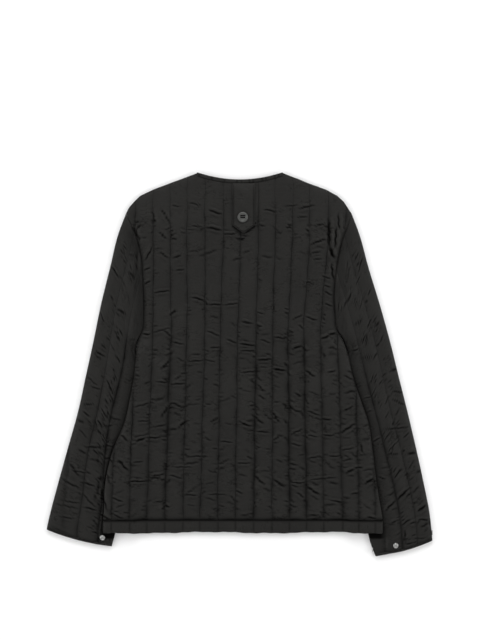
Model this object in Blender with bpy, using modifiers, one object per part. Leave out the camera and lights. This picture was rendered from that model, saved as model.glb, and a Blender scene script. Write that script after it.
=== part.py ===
"""Quilted jacket without a collar, laid flat on its front, with its back up.

+X runs to the right as seen from above, +Y towards the neck and +Z up. The origin lies under the middle
of the outline, on the surface that the jacket rests on. Left and right are the wearer's.

Sizes are millimetres until a mesh is made. "down" is measured from the neck points towards the cuffs, and
the columns "left" and "right" of a table are distances from the middle line to that side.
"""

import math

import bmesh
import bpy
import numpy as np
from mathutils import Matrix

MM = 0.001
MIDDLE_DOWN = 365.7             # half way between the neck points and the lower cuff
SIDES = {"left": -1, "right": 1}

# Cloth
FRONT_WALL = 5.0                # padded wall that lies on the surface
LAYER_GAP = 0.5                 # between the two walls of the body or of a sleeve
BACK_WALL = 3.5                 # padded wall along a line of stitching
PUFF = 3.0                      # rise of a channel above its stitching
PUFF_POWER = 0.6                # under 1 makes a channel's top fuller
PUCKER = 0.16                   # share by which a channel's height varies along it
SEAM_GAP = 0.3                  # between pieces that are sewn together
EDGE_RADIUS = 10.0              # width of the rounding at a folded edge
EDGE_WALL = 1.0                 # each wall's thickness at that edge
SEAM_FADE = 14.0                # a channel flattens over this width before a seam
INNER_FLOOR = FRONT_WALL + LAYER_GAP
SEAM_TOP = INNER_FLOOR + BACK_WALL
LAYER_MIDDLE = FRONT_WALL + LAYER_GAP / 2

# Where the body lies on a sleeve
BODY_LIFT = SEAM_TOP + 0.6      # height that the body rises to
LIFT_WIDTH = 35.0               # width that it rises over
LIFT_MARGIN = 15.0              # it has risen this far before it meets the sleeve
LIFT_LENGTH = 35.0              # length below the underarm that it rises over
UNDERARM = {"left": 310.0, "right": 300.0}

# Neck, tab and hem
NECK_HALF_WIDTH = 79.0
NECK_POINT_DOWN = 2.0
BACK_NECK_DROP = 13.0
FRONT_NECK_DROP = 93.0
NECK_BINDING = 7.0
HEM_SEAM_DOWN = 660.0
HEM_BAND = 22.0
HEM_WAVE = 1.2
TAB_WIDTH = 43.0
TAB_MIDDLE = 7.0
TAB_TIP_DOWN = 117.0
TAB_POINT = 15.0
TAB_THICKNESS = 2.2
BUTTON_RADIUS = 10.0
BUTTON_PLACE = (5.5, 87.0)
BARTACK_PLACE = (3.8, 126.6)
BARTACK_SIZE = (11.0, 2.0, 1.2)

# Cuffs
CUFF_BINDING = 5.0
UNDERARM_GAP = 0.6              # between a sleeve's inner edge and the side of the body that it runs beside
SNAP_RADIUS = 5.0
SNAP_HEIGHT = 1.6
SNAP_PLACES = {"left": (-260.0, 693.0), "right": (295.0, 708.0)}
EDGE_SNAPS = (("outer", 684.0, 1), ("inner", 716.0, -1))    # name, down, facing away from or to the body
EDGE_SNAP_GAP = 0.5


def table(names, *rows):
    """A short table, as one array for each named column."""
    columns = zip(*rows)
    return {name: np.array(values, float) for name, values in zip(names.split(), columns)}


SHOULDER = table(
    "down left right",
    (2, 78, 80),
    (23, 134, 132),
    (34, 164, 163),
    (46, 189, 185),
    (57, 200, 197),
    (68, 210, 204),
    (80, 216, 212),
)
SLEEVE_OUTER = table(
    "down left right",
    (80, 216, 212),
    (114, 229, 225),
    (182, 246, 244),
    (251, 263, 265),
    (319, 277, 284),
    (388, 292, 301),
    (456, 307, 318),
    (524, 326, 334),
    (593, 345, 349),
    (650, 360, 360),
    (678, 366, 363),
    (700, 367, 365),
)
# The armhole seam down to the underarm, and the folded side of the body from there.
BODY_EDGE = table(
    "down left right",
    (80, 216, 212),
    (104, 204, 204),
    (130, 194, 194),
    (160, 187, 187),
    (200, 184, 181),
    (240, 182, 178),
    (270, 182, 180),
    (300, 184, 184),
    (318, 192, 194),
    (346, 196, 204),
    (385, 200, 213),
    (431, 208, 228),
    (475, 218, 243),
    (528, 240, 251),
    (585, 254, 258),
    (652, 258, 269),
    (682, 262, 274),
)
# How far a sleeve's inner edge passes under the side of the body, or under its line beyond the hem.
SLEEVE_TUCK = table(
    "down left right",
    (346, 0, 0),
    (365, 14, 18),
    (400, 42, 42),
    (500, 46, 46),
    (600, 40, 43),
    (650, 32, 35),
    (684, 27, 32),
    (710, 20, 25),
    (730, 16, 17),
)
# Lines of stitching on the back, from the wearer's left to right, by their place across.
QUILT_LINES = table(
    "line shoulder middle hem",
    (-7, -231, -230, -242),
    (-6, -198, -197, -209),
    (-5, -164, -164, -176),
    (-4, -132, -130, -142),
    (-3, -100, -100, -108),
    (-2, -66, -66, -75),
    (-1, -31, -37, -42),
    (0, 2, -4, -9),
    (1, 35, 31, 26),
    (2, 67, 62, 61),
    (3, 100, 91, 94),
    (4, 132, 121, 126),
    (5, 168, 152, 159),
    (6, 201, 184, 194),
    (7, 234, 216, 225),
    (8, 267, 247, 256),
)
QUILT_LEVELS = (129.0, 294.0, 642.0)    # down to the columns shoulder, middle and hem
OUTER_LINE = 5                          # the last line that runs the whole length
# Lines of stitching on the sleeves, by their distance from the sleeve's outer edge.
SLEEVE_LINES = table(
    "down left_first left_second right_first right_second",
    (80, 30, 61, 29, 62),
    (285, 30, 61, 29, 62),
    (384, 35, 66, 30, 62),
    (460, 37, 64, 32, 61),
    (524, 40, 72, 30, 60),
    (642, 56, 95, 29, 58),
    (730, 60, 100, 29, 58),
)
CUFF_CORNERS = table("corner left right", (0, 678, 699), (1, 710, 729))     # outer, inner


def read(rows, name, down):
    """A column of a table at a distance down, along a smooth curve through its rows."""
    at, values = rows["down"], rows[name]
    slopes = np.gradient(values, at)
    down = np.clip(np.asarray(down, float), at[0], at[-1])
    row = np.clip(np.searchsorted(at, down) - 1, 0, len(at) - 2)
    step = at[row + 1] - at[row]
    t = (down - at[row]) / step
    start = (1 + 2 * t) * (1 - t) ** 2 * values[row] + t * (1 - t) ** 2 * step * slopes[row]
    end = t**2 * (3 - 2 * t) * values[row + 1] - t**2 * (1 - t) * step * slopes[row + 1]
    return start + end


def smooth(t):
    """0 up to 0, 1 from 1, and a soft step between."""
    t = np.clip(t, 0, 1)
    return t * t * (3 - 2 * t)


def rounding(inset):
    """Height of a quarter round at a distance in from a folded edge, 0 to 1."""
    t = np.clip(np.asarray(inset, float) / EDGE_RADIUS, 0, 1)
    return np.sqrt(1 - (1 - t) ** 2)


def fade(inset):
    """How far a channel has risen at a distance in from a seam, 0 to 1."""
    return np.sqrt(np.clip(np.asarray(inset, float) / SEAM_FADE, 0, 1))


def quilt_x(line, down):
    """Place across of a line of stitching, or of a fraction between two, at a distance down."""
    levels = [np.interp(line, QUILT_LINES["line"], QUILT_LINES[name]) for name in ("shoulder", "middle", "hem")]
    return np.interp(down, QUILT_LEVELS, levels)


def quilt_place(x, down):
    """The line of stitching, as a fraction between two, at each place on the back."""
    lines = QUILT_LINES["line"]
    places = [
        np.interp(a, [quilt_x(line, d) for line in lines], lines) for a, d in zip(np.ravel(x), np.ravel(down))
    ]
    return np.reshape(places, np.shape(x))


def puckered(along, channel):
    """Height of a channel's crest along its length, about 1, uneven from one pucker to the next."""
    return 1 + PUCKER * (np.sin(along / 9.7 + 2.3 * channel) + np.sin(along / 23.0 - 1.7 * channel)) / 2


BODY_TOP_ROWS = (0.0, 2.5, 6.0, EDGE_RADIUS)
BODY_LEVEL_DOWN = 330.0         # the rows lie level from here to the hem
BODY_UPPER_ROWS = 9
BODY_LOWER_ROWS = 12
HEM_ROWS = (12.0, 5.0, 0.0)


def body_rows(top):
    """Distances down of a column's points, from the distance of its top to the hem seam."""
    bottom = HEM_SEAM_DOWN - SEAM_GAP
    rows = [top + inset for inset in BODY_TOP_ROWS]
    rows += list(np.linspace(rows[-1], BODY_LEVEL_DOWN, BODY_UPPER_ROWS, endpoint=False)[1:])
    rows += list(np.linspace(BODY_LEVEL_DOWN, bottom - HEM_ROWS[0], BODY_LOWER_ROWS, endpoint=False))
    return rows + [bottom - up for up in HEM_ROWS]


def body_edge(side, down):
    """Distance from the middle line to the body's edge, straight from each of its points to the next."""
    rows = np.array(body_rows(SHOULDER["down"][-1]) + [HEM_SEAM_DOWN + HEM_BAND])
    return np.interp(down, rows, read(BODY_EDGE, side, rows))


def side_of(x):
    """The wearer's side that a place across belongs to."""
    return "left" if x < 0 else "right"


def shoulder_down(x):
    """Distance down to the shoulder edge at a place across."""
    side = side_of(x)
    return np.interp(abs(x), SHOULDER[side], SHOULDER["down"])


def back_neck_down(x):
    """Distance down to the finished edge of the back neck."""
    return NECK_POINT_DOWN + BACK_NECK_DROP * (1 - min(abs(x) / NECK_HALF_WIDTH, 1) ** 2)


def back_top(x):
    """Distance down to the top of the back: the neck seam in the middle, the shoulders beside it."""
    if abs(x) < NECK_HALF_WIDTH:
        return back_neck_down(x) + NECK_BINDING + SEAM_GAP
    return shoulder_down(x)


def front_top(x):
    """Distance down to the top of a front: its deeper neck seam, and the shoulder beside it."""
    seam = NECK_BINDING + SEAM_GAP
    reach = NECK_HALF_WIDTH + seam
    if abs(x) < reach:
        return NECK_POINT_DOWN + (FRONT_NECK_DROP + seam) * math.sqrt(1 - (x / reach) ** 2)
    return shoulder_down(x)


def lift(x, down):
    """Height of the body's underside: on the surface, or raised where a sleeve lies beneath it."""
    x, down = np.broadcast_arrays(np.asarray(x, float), np.asarray(down, float))
    height = np.zeros(x.shape)
    for side, sign in SIDES.items():
        inner = body_edge(side, down) - read(SLEEVE_TUCK, side, down)
        across = smooth((sign * x - (inner - LIFT_MARGIN - LIFT_WIDTH)) / LIFT_WIDTH)
        along = smooth((down - UNDERARM[side]) / LIFT_LENGTH)
        height += BODY_LIFT * across * along
    return height


EDGE_INSETS = (0.0, 2.5, 6.0, EDGE_RADIUS)
EDGE_PARTS = (0.2, 0.4, 0.6, 0.8)       # of the way from the last inset to the outer line
PER_CHANNEL = 3
FLAT_LINES = 3                          # the fronts lie flat between these lines, and need fewer points


def edge_columns(side):
    """Columns between a side's edge and its outer line, from the edge in."""
    columns = [(side, inset, 0.0) for inset in EDGE_INSETS]
    return columns + [(side, EDGE_RADIUS, part) for part in EDGE_PARTS]


def back_columns():
    """The back's columns from left to right: (side, inset, part) near an edge, ("line", place, 0) between."""
    lines = range(-OUTER_LINE * PER_CHANNEL, OUTER_LINE * PER_CHANNEL + 1)
    middle = [("line", line / PER_CHANNEL, 0.0) for line in lines]
    return edge_columns("left") + middle + edge_columns("right")[::-1]


def front_columns(side):
    """A front's columns from left to right, between its edge and the centre front."""
    sign = SIDES[side]
    outer = range(OUTER_LINE * PER_CHANNEL, FLAT_LINES * PER_CHANNEL, -1)
    places = [line / PER_CHANNEL for line in outer] + [half / 2 for half in range(2 * FLAT_LINES, -1, -1)]
    columns = edge_columns(side) + [("line", sign * place, 0.0) for place in places]
    return columns if side == "left" else columns[::-1]


def column_x(column, down):
    """Place across of a column at a distance down."""
    kind, value, part = column
    if kind == "line":
        return quilt_x(value, down)
    sign = SIDES[kind]
    edge = sign * (body_edge(kind, down) - SEAM_GAP / 2 - value)
    return edge + part * (quilt_x(sign * OUTER_LINE, down) - edge)


def body_plan(columns, top_edge):
    """Arrays (row, column) of the places across and down of a body panel's points."""
    x, down = [], []
    for column in columns:
        rows = body_rows(top_edge(column_x(column, SHOULDER["down"][-1])))
        down.append(rows)
        x.append([column_x(column, row) for row in rows])
    return np.array(x).T, np.array(down).T


def edge_shape(x, down, top):
    """For a body panel: height of its rounded edges, 0 to 1, and how far its channels have risen."""
    rounded = np.ones(x.shape)
    risen = fade(HEM_SEAM_DOWN - SEAM_GAP - down) * fade(down - top)
    for side, sign in SIDES.items():
        inset = np.maximum(body_edge(side, down) - SEAM_GAP / 2 - sign * x, 0)
        folded = smooth((down - UNDERARM[side]) / LIFT_LENGTH)
        rounded *= 1 - folded * (1 - rounding(inset))
        risen *= 1 - (1 - folded) * (1 - fade(inset))
    on_shoulder = np.abs(x) > NECK_HALF_WIDTH + NECK_BINDING
    rounded *= np.where(on_shoulder, rounding(down - top), 1)
    return rounded, risen


def back_surface(x, down, top):
    """Height of the back's quilted outer side."""
    rounded, risen = edge_shape(x, down, top)
    place = quilt_place(x, down)
    channel = np.floor(place)
    puff = PUFF * np.abs(np.sin(math.pi * place)) ** PUFF_POWER * puckered(down, channel) * risen
    edge = INNER_FLOOR + EDGE_WALL
    return lift(x, down) + edge + (SEAM_TOP + puff - edge) * rounded


def points(x, down, z):
    """World points in metres from places across, down and up in millimetres."""
    x, down, z = np.broadcast_arrays(x, down, z)
    return np.stack([x, MIDDLE_DOWN - down, z], axis=-1) * MM


def grid_faces(rows, columns, start, flip, closed=False):
    """Triangles over a grid of points, all cut along the same diagonal."""
    faces = []
    for row in range(rows - 1):
        for column in range(columns if closed else columns - 1):
            after = (column + 1) % columns
            a = start + row * columns + column
            b = start + row * columns + after
            c = a + columns
            d = b + columns
            pair = [(a, c, d), (a, d, b)]
            faces += [face[::-1] for face in pair] if flip else pair
    return faces


def add_object(name, vertices, faces, material):
    """A named object from vertices and faces, with its faces turned out."""
    mesh = bpy.data.meshes.new(name)
    mesh.from_pydata([tuple(map(float, vertex)) for vertex in vertices], [], faces)
    body = bmesh.new()
    body.from_mesh(mesh)
    bmesh.ops.recalc_face_normals(body, faces=body.faces)
    body.to_mesh(mesh)
    body.free()
    mesh.shade_smooth()
    mesh.set_sharp_from_angle(angle=math.radians(45))
    made = bpy.data.objects.new(name, mesh)
    mesh.materials.append(material)
    parts.objects.link(made)
    return made


def add_panel(name, upper, lower, material):
    """A closed wall between two grids of points with the same rows and columns."""
    rows, columns = upper.shape[:2]
    count = rows * columns
    faces = grid_faces(rows, columns, 0, False) + grid_faces(rows, columns, count, True)
    rim = [(0, column) for column in range(columns)]
    rim += [(row, columns - 1) for row in range(1, rows)]
    rim += [(rows - 1, column) for column in range(columns - 2, -1, -1)]
    rim += [(row, 0) for row in range(rows - 2, 0, -1)]
    loop = [row * columns + column for row, column in rim]
    for a, b in zip(loop, loop[1:] + loop[:1]):
        faces += [(a, b, b + count), (a, b + count, a + count)]
    vertices = np.concatenate([upper.reshape(-1, 3), lower.reshape(-1, 3)])
    return add_object(name, vertices, faces, material)


def add_tube(name, outer, inner, material):
    """A closed wall between two tubes, open at both ends: arrays (station, around, 3)."""
    stations, around = outer.shape[:2]
    count = stations * around
    faces = grid_faces(stations, around, 0, False, True) + grid_faces(stations, around, count, True, True)
    for station in (0, stations - 1):
        for place in range(around):
            a = station * around + place
            b = station * around + (place + 1) % around
            faces += [(a, b, b + count), (a, b + count, a + count)]
    vertices = np.concatenate([outer.reshape(-1, 3), inner.reshape(-1, 3)])
    return add_object(name, vertices, faces, material)


def add_strip(name, sections, material):
    """A solid strip through closed sections: array (station, around, 3)."""
    stations, around = sections.shape[:2]
    faces = grid_faces(stations, around, 0, False, True)
    faces += [tuple(range(around)), tuple(range((stations - 1) * around, stations * around))]
    return add_object(name, sections.reshape(-1, 3), faces, material)


def make_material(name, color, roughness, metallic=0.0):
    """A Principled material."""
    made = bpy.data.materials.new(name)
    made.use_nodes = True
    shader = made.node_tree.nodes["Principled BSDF"]
    shader.inputs["Base Color"].default_value = (*color, 1.0)
    shader.inputs["Roughness"].default_value = roughness
    shader.inputs["Metallic"].default_value = metallic
    made.diffuse_color = (*color, 1.0)
    return made


def make_back(material):
    """The quilted back, from the neck seam and shoulders to the hem seam."""
    x, down = body_plan(back_columns(), back_top)
    upper = points(x, down, back_surface(x, down, down[0]))
    lower = points(x, down, lift(x, down) + INNER_FLOOR)
    add_panel("back", upper, lower, material)


def make_fronts(material):
    """The two plain fronts under the back, which meet at the centre front."""
    for side, sign in SIDES.items():
        x, down = body_plan(front_columns(side), front_top)
        x[:, -1 if side == "left" else 0] = sign * SEAM_GAP / 2
        rounded, risen = edge_shape(x, down, down[0])
        underside = (FRONT_WALL - EDGE_WALL) * (1 - rounded)
        upper = points(x, down, lift(x, down) + FRONT_WALL)
        lower = points(x, down, lift(x, down) + underside)
        add_panel(f"front_{side}", upper, lower, material)


def seam_reach(side, down):
    """Distance from a sleeve's outer edge to the armhole seam and the side of the body."""
    return read(SLEEVE_OUTER, side, down) - body_edge(side, down) - SEAM_GAP / 2


def inner_reach(side, down):
    """Distance from a sleeve's outer edge to its inner edge."""
    return seam_reach(side, down) + read(SLEEVE_TUCK, side, down) - UNDERARM_GAP


def sleeve_edge(side, facing, down):
    """Distance from the middle line to a sleeve's outer edge (facing 1) or its inner one (facing -1)."""
    outer = read(SLEEVE_OUTER, side, down)
    return outer if facing == 1 else outer - inner_reach(side, down)


# Points across a sleeve from its outer edge to its second line of stitching: the lines that "part" of the way
# lies between, the inset added to that, how far the channel has risen, and whether a point lies below too.
SLEEVE_OUTSIDE = (
    # from, to, part, inset, puff, below
    ("outer", "outer", 0.0, 0.0, 0.0, False),
    ("outer", "outer", 0.0, 1.5, 0.3, True),
    ("outer", "outer", 0.0, 5.0, 0.6, False),
    ("outer", "outer", 0.0, 10.0, 0.9, True),
    ("outer", "first", 0.66, 0.0, 0.9, False),
    ("first", "first", 0.0, 0.0, 0.0, True),
    ("first", "second", 0.33, 0.0, 0.92, True),
    ("first", "second", 0.67, 0.0, 0.92, False),
    ("second", "second", 0.0, 0.0, 0.0, True),
)
# Points from there to the inner edge: part of the way to the side of the body, then to the inner edge.
SLEEVE_INSIDE = (
    # to, part, inset, puff, below
    ("body", 0.5, 0.0, 0.6, False),
    ("body", 1.0, 0.0, 0.0, True),
    ("inner", 0.5, 0.0, 0.0, False),
    ("inner", 1.0, 10.0, 0.0, True),
    ("inner", 1.0, 5.0, 0.0, False),
    ("inner", 1.0, 1.5, 0.0, True),
    ("inner", 1.0, 0.0, 0.0, False),
)
SLEEVE_STATIONS = 17
HOLLOW_INSET = 6.0              # from a sleeve's edge to the hollow inside it
HEAD_LENGTH = 0.35              # share of a sleeve over which its lines leave the armhole's spacing
UNDERARM_LENGTH = 0.15          # share over which its sections turn straight
UNDERARM_SHARE = 0.277          # share of its length at which its inner edge starts to pass under the body
UNDERARM_END = 352.0            # distance down of that place
HIDDEN_WIDTH = 8.0              # least width of the hidden top, before its inner edge rounds down
SLEEVE_LENGTH = 560.0           # along the outer edge


def cuff_down(side, reach):
    """Distance down to the cuff's edge at a distance from the sleeve's outer edge."""
    outer, inner = CUFF_CORNERS[side]
    return outer + (inner - outer) * reach / inner_reach(side, inner)


def head_path(side, start, end, part, inset, stations, trim):
    """Places across and down of a point between two lines of stitching that start at the armhole."""
    seam = np.linspace(SLEEVE_OUTER["down"][0], UNDERARM[side], 60)

    def reach(down):
        lines = {"outer": 0.0 * down}
        lines["first"] = read(SLEEVE_LINES, f"{side}_first", down)
        lines["second"] = read(SLEEVE_LINES, f"{side}_second", down)
        return lines[start] + part * (lines[end] - lines[start]) + inset

    begin = np.interp(reach(seam[0]), np.maximum.accumulate(seam_reach(side, seam)), seam)
    down = begin + (cuff_down(side, reach(CUFF_CORNERS[side][1])) - trim - begin) * stations
    settled = smooth(stations / HEAD_LENGTH)
    across = (1 - settled) * seam_reach(side, begin) + settled * reach(down)
    return np.array([read(SLEEVE_OUTER, side, down) - across, down])


def inner_path(side, stations, trim):
    """Places across and down of a sleeve's inner edge, from the underarm to the cuff."""
    below = (UNDERARM[side], UNDERARM_END, CUFF_CORNERS[side][1] - trim)
    down = np.interp(stations, (0.0, UNDERARM_SHARE, 1.0), below)
    return np.array([read(SLEEVE_OUTER, side, down) - inner_reach(side, down), down])


def inside_paths(side, second, inner, stations):
    """Places across and down of the points from the second line of stitching to the inner edge."""
    width = np.hypot(*(inner - second))
    middle_down = (second[1] + inner[1]) / 2
    line = read(SLEEVE_LINES, f"{side}_second", middle_down)
    visible = (seam_reach(side, middle_down) - line) / (inner_reach(side, middle_down) - line)
    visible = np.minimum(visible, 1 - (EDGE_RADIUS + HIDDEN_WIDTH) / width)
    turned = 1 - smooth(stations / UNDERARM_LENGTH)
    paths = []
    for end, part, inset, puff, below in SLEEVE_INSIDE:
        if end == "body":
            share = part * visible
        else:
            last = 1 - inset / width
            share = last if part == 1 else visible + part * (1 - EDGE_RADIUS / width - visible)
        straight = second + (inner - second) * share
        seam_down = second[1][0] + (inner[1][0] - second[1][0]) * share[0]
        on_seam = np.array([body_edge(side, seam_down) + SEAM_GAP / 2, seam_down])
        paths.append(straight + (on_seam - straight[:, 0])[:, None] * turned)
    return paths


def drawn_in(x, down):
    """The same rows of points across, drawn in along their own line by the hollow's inset at both ends."""
    steps = np.hypot(np.diff(x, axis=1), np.diff(down, axis=1))
    along = np.concatenate([np.zeros((len(x), 1)), np.cumsum(steps, axis=1)], axis=1)
    wanted = HOLLOW_INSET + along * (1 - 2 * HOLLOW_INSET / along[:, -1:])
    drawn_x = [np.interp(*row) for row in zip(wanted, along, x)]
    drawn_down = [np.interp(*row) for row in zip(wanted, along, down)]
    return np.array(drawn_x), np.array(drawn_down)


def ring(upper, lower, below):
    """Closed rings of points: over the top, and back through the points that lie below."""
    return np.concatenate([upper, lower[:, below][:, ::-1]], axis=1)


def sleeve_rings(side, stations, trim):
    """Outer and inner rings of a flattened sleeve at the given stations, in world points."""
    whole = np.concatenate([[0.0], stations])       # the first station sets the spacing along the armhole
    paths = [head_path(side, *entry[:4], whole, trim) for entry in SLEEVE_OUTSIDE]
    paths += inside_paths(side, paths[-1], inner_path(side, whole, trim), whole)
    x, down = (np.array([path[axis][1:] for path in paths]).T for axis in (0, 1))
    rounded = [rounding(inset) if start == end == "outer" else 1.0 for start, end, part, inset, *rest in SLEEVE_OUTSIDE]
    rounded += [rounding(inset) if (end, part) == ("inner", 1.0) else 1.0 for end, part, inset, *rest in SLEEVE_INSIDE]
    rounded = np.array(rounded)
    puffs = np.array([entry[-2] for entry in SLEEVE_OUTSIDE + SLEEVE_INSIDE])
    below = np.array([entry[-1] for entry in SLEEVE_OUTSIDE + SLEEVE_INSIDE])
    risen = puffs * fade(SLEEVE_LENGTH * stations)[:, None]
    crests = SEAM_TOP + PUFF * risen * puckered(down, np.arange(len(paths)))
    across = SIDES[side] * x
    upper = points(across, down, LAYER_MIDDLE + (crests - LAYER_MIDDLE) * rounded)
    lower = points(across, down, LAYER_MIDDLE * (1 - rounded))
    hollow_x, hollow_down = drawn_in(x, down)
    ends = np.isin(np.arange(len(paths)), (0, len(paths) - 1))
    ceiling = points(SIDES[side] * hollow_x, hollow_down, np.where(ends, LAYER_MIDDLE, INNER_FLOOR))
    floor = points(SIDES[side] * hollow_x, hollow_down, FRONT_WALL)
    return ring(upper, lower, below), ring(ceiling, floor, below)


def make_sleeves(material):
    """The two sleeves, each a flattened tube from its armhole seam to its cuff binding."""
    stations = np.concatenate([[0, 0.012, 0.028], np.linspace(0.06, 1, SLEEVE_STATIONS - 3)])
    for side in SIDES:
        outer, inner = sleeve_rings(side, stations, CUFF_BINDING + SEAM_GAP)
        add_tube(f"sleeve_{side}", outer, inner, material)


def make_cuff_bindings(material):
    """The narrow bindings that end the sleeves, each a short flattened ring."""
    for side in SIDES:
        ring_start = sleeve_rings(side, np.array([1.0]), CUFF_BINDING)
        ring_end = sleeve_rings(side, np.array([1.0]), 0.0)
        outer = np.concatenate([ring_start[0], ring_end[0]])
        inner = np.concatenate([ring_start[1], ring_end[1]])
        add_tube(f"cuff_binding_{side}", outer, inner, material)


STRIP_PROFILE = ((0.0, 0.7), (0.14, 1.0), (0.86, 1.0), (1.0, 0.45))     # across the strip, half thickness


def strip_section(profile):
    """A strip's closed section: (across, thickness) pairs over the top and back below."""
    above = [(across, half) for across, half in profile]
    return above + [(across, -half) for across, half in reversed(profile)]


def make_hem_band(material):
    """The band folded round the hem, from the centre front round the back to the centre front."""
    half = (LAYER_MIDDLE - LAYER_GAP) / 2       # half the band's thickness
    turn = LAYER_MIDDLE - half                  # from the middle of the layers to the band's own middle
    across = {}
    for side, sign in SIDES.items():
        edge = body_edge(side, HEM_SEAM_DOWN) - LAYER_MIDDLE
        across[side] = sign * np.concatenate([np.linspace(25, 110, 4), np.linspace(125, edge, 11)])
    path = [(-SEAM_GAP / 2, -1, 0.0)] + [(x, -1, 0.0) for x in across["left"]]
    path += [(across["left"][-1], 0, angle) for angle in (225, 180, 135)]
    path += [(x, 1, 0.0) for x in across["left"][::-1]] + [(0.0, 1, 0.0)] + [(x, 1, 0.0) for x in across["right"]]
    path += [(across["right"][-1], 0, angle) for angle in (45, 0, -45)]
    path += [(x, -1, 0.0) for x in across["right"][::-1]] + [(SEAM_GAP / 2, -1, 0.0)]
    sections = []
    for x, layer, angle in path:
        normal = (0.0, float(layer)) if layer else (math.cos(math.radians(angle)), math.sin(math.radians(angle)))
        base = float(lift(x, HEM_SEAM_DOWN)) + LAYER_MIDDLE
        section = []
        for share, thickness in strip_section(STRIP_PROFILE):
            reach = turn + half * thickness
            wave = HEM_WAVE * math.sin(x / 37.0) * share
            place = (x + normal[0] * reach, HEM_SEAM_DOWN + share * HEM_BAND + wave, base + normal[1] * reach)
            section.append(points(*place))
        sections.append(section)
    add_strip("hem_band", np.array(sections), material)


def binding_sections(path, floor, thickness):
    """Sections of a flat binding: path rows hold the finished edge's and the seam's places across and down."""
    sections = []
    for edge_x, edge_down, seam_x, seam_down in path:
        section = []
        for share, half in strip_section(STRIP_PROFILE):
            x = seam_x + share * (edge_x - seam_x)
            down = seam_down + share * (edge_down - seam_down)
            section.append(points(x, down, floor + thickness / 2 * (1 + half)))
        sections.append(section)
    return np.array(sections)


def make_neck_bindings(material):
    """The narrow bindings of the back neck and of the two hidden front necks."""
    reach = NECK_HALF_WIDTH - 1.0
    path = []
    for x in np.linspace(-reach, reach, 15):
        down = back_neck_down(x)
        path.append((x, down, x, down + NECK_BINDING))
    add_strip("neck_binding_back", binding_sections(path, INNER_FLOOR, SEAM_TOP + 1.0 - INNER_FLOOR), material)
    for side, sign in SIDES.items():
        reach = NECK_HALF_WIDTH + NECK_BINDING
        across = [abs(column_x(column, 0.0)) for column in front_columns(side)]
        angles = [math.acos(x / (reach + SEAM_GAP)) for x in across if x < reach - 1]
        angles = sorted(angles + [math.radians(4)])
        path = []
        for angle in angles:
            edge_down = NECK_POINT_DOWN + FRONT_NECK_DROP * math.sin(angle)
            seam_down = NECK_POINT_DOWN + (FRONT_NECK_DROP + NECK_BINDING) * math.sin(angle)
            edge_x = sign * max(NECK_HALF_WIDTH * math.cos(angle), SEAM_GAP / 2)
            seam_x = sign * max(reach * math.cos(angle), SEAM_GAP / 2)
            path.append((edge_x, edge_down, seam_x, seam_down))
        sections = binding_sections(path, 0.0, FRONT_WALL)
        add_strip(f"neck_binding_front_{side}", sections, material)


def crest(x, down):
    """Height of the tops of the channels on the upper back, which the tab lies on."""
    risen = fade(np.asarray(down, float) - back_top(x))
    return SEAM_TOP + PUFF * (1 + PUCKER) * risen


def make_neck_tab(material):
    """The pointed strap that hangs from the neck seam over the back."""
    start = back_top(TAB_MIDDLE) + SEAM_GAP
    shoulder = TAB_TIP_DOWN - TAB_POINT
    levels = [start, start + 2.5, start + 6, start + EDGE_RADIUS, start + SEAM_FADE]
    levels += list(np.linspace(levels[-1] + 15, shoulder, 5)) + [shoulder + 5, shoulder + 10, TAB_TIP_DOWN]
    upper, lower = [], []
    for down in levels:
        tip = np.clip((down - shoulder) / TAB_POINT, 0, 1)
        half = TAB_WIDTH / 2 * (1 - tip) + 1.5 * tip
        inset = np.array([-1, -0.94, 0, 0.94, 1])
        x = TAB_MIDDLE + half * inset
        base = np.array([crest(across, down) for across in x]) + SEAM_GAP
        lower.append(points(x, down, base))
        upper.append(points(x, down, base + TAB_THICKNESS * np.array([0.6, 1, 1, 1, 0.6])))
    add_panel("neck_tab", np.array(upper), np.array(lower), material)


def turned(name, profile, steps, material):
    """A turned solid about +Z from (radius, height) pairs in millimetres, listed from the top axis down."""
    mesh = bpy.data.meshes.new(name)
    line = [(radius * MM, 0.0, height * MM) for radius, height in profile]
    mesh.from_pydata(line, [(place, place + 1) for place in range(len(line) - 1)], [])
    mesh.materials.append(material)
    made = bpy.data.objects.new(name, mesh)
    parts.objects.link(made)
    screw = made.modifiers.new("turn", "SCREW")
    screw.angle = math.tau
    screw.steps = steps
    screw.render_steps = steps
    screw.use_merge_vertices = True
    screw.merge_threshold = 0.00005
    screw.use_smooth_shade = True
    return made


def place(made, x, down, z):
    """Sets an object's location from places across, down and up in millimetres."""
    made.location = tuple(points(x, down, z))


def height_below(names, x, down, reach_x, reach_down):
    """Height in millimetres of the highest point of some pieces under a small rectangle."""
    above = 100.0
    heights = [0.0]
    for name in names:
        piece = bpy.data.objects[name]
        for offset_x in np.linspace(-reach_x, reach_x, 9):
            for offset_down in np.linspace(-reach_down, reach_down, 9):
                start = points(x + offset_x, down + offset_down, above)
                hit, spot, normal, face = piece.ray_cast(start, (0.0, 0.0, -1.0))
                if hit:
                    heights.append(spot.z / MM)
    return max(heights)


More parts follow.
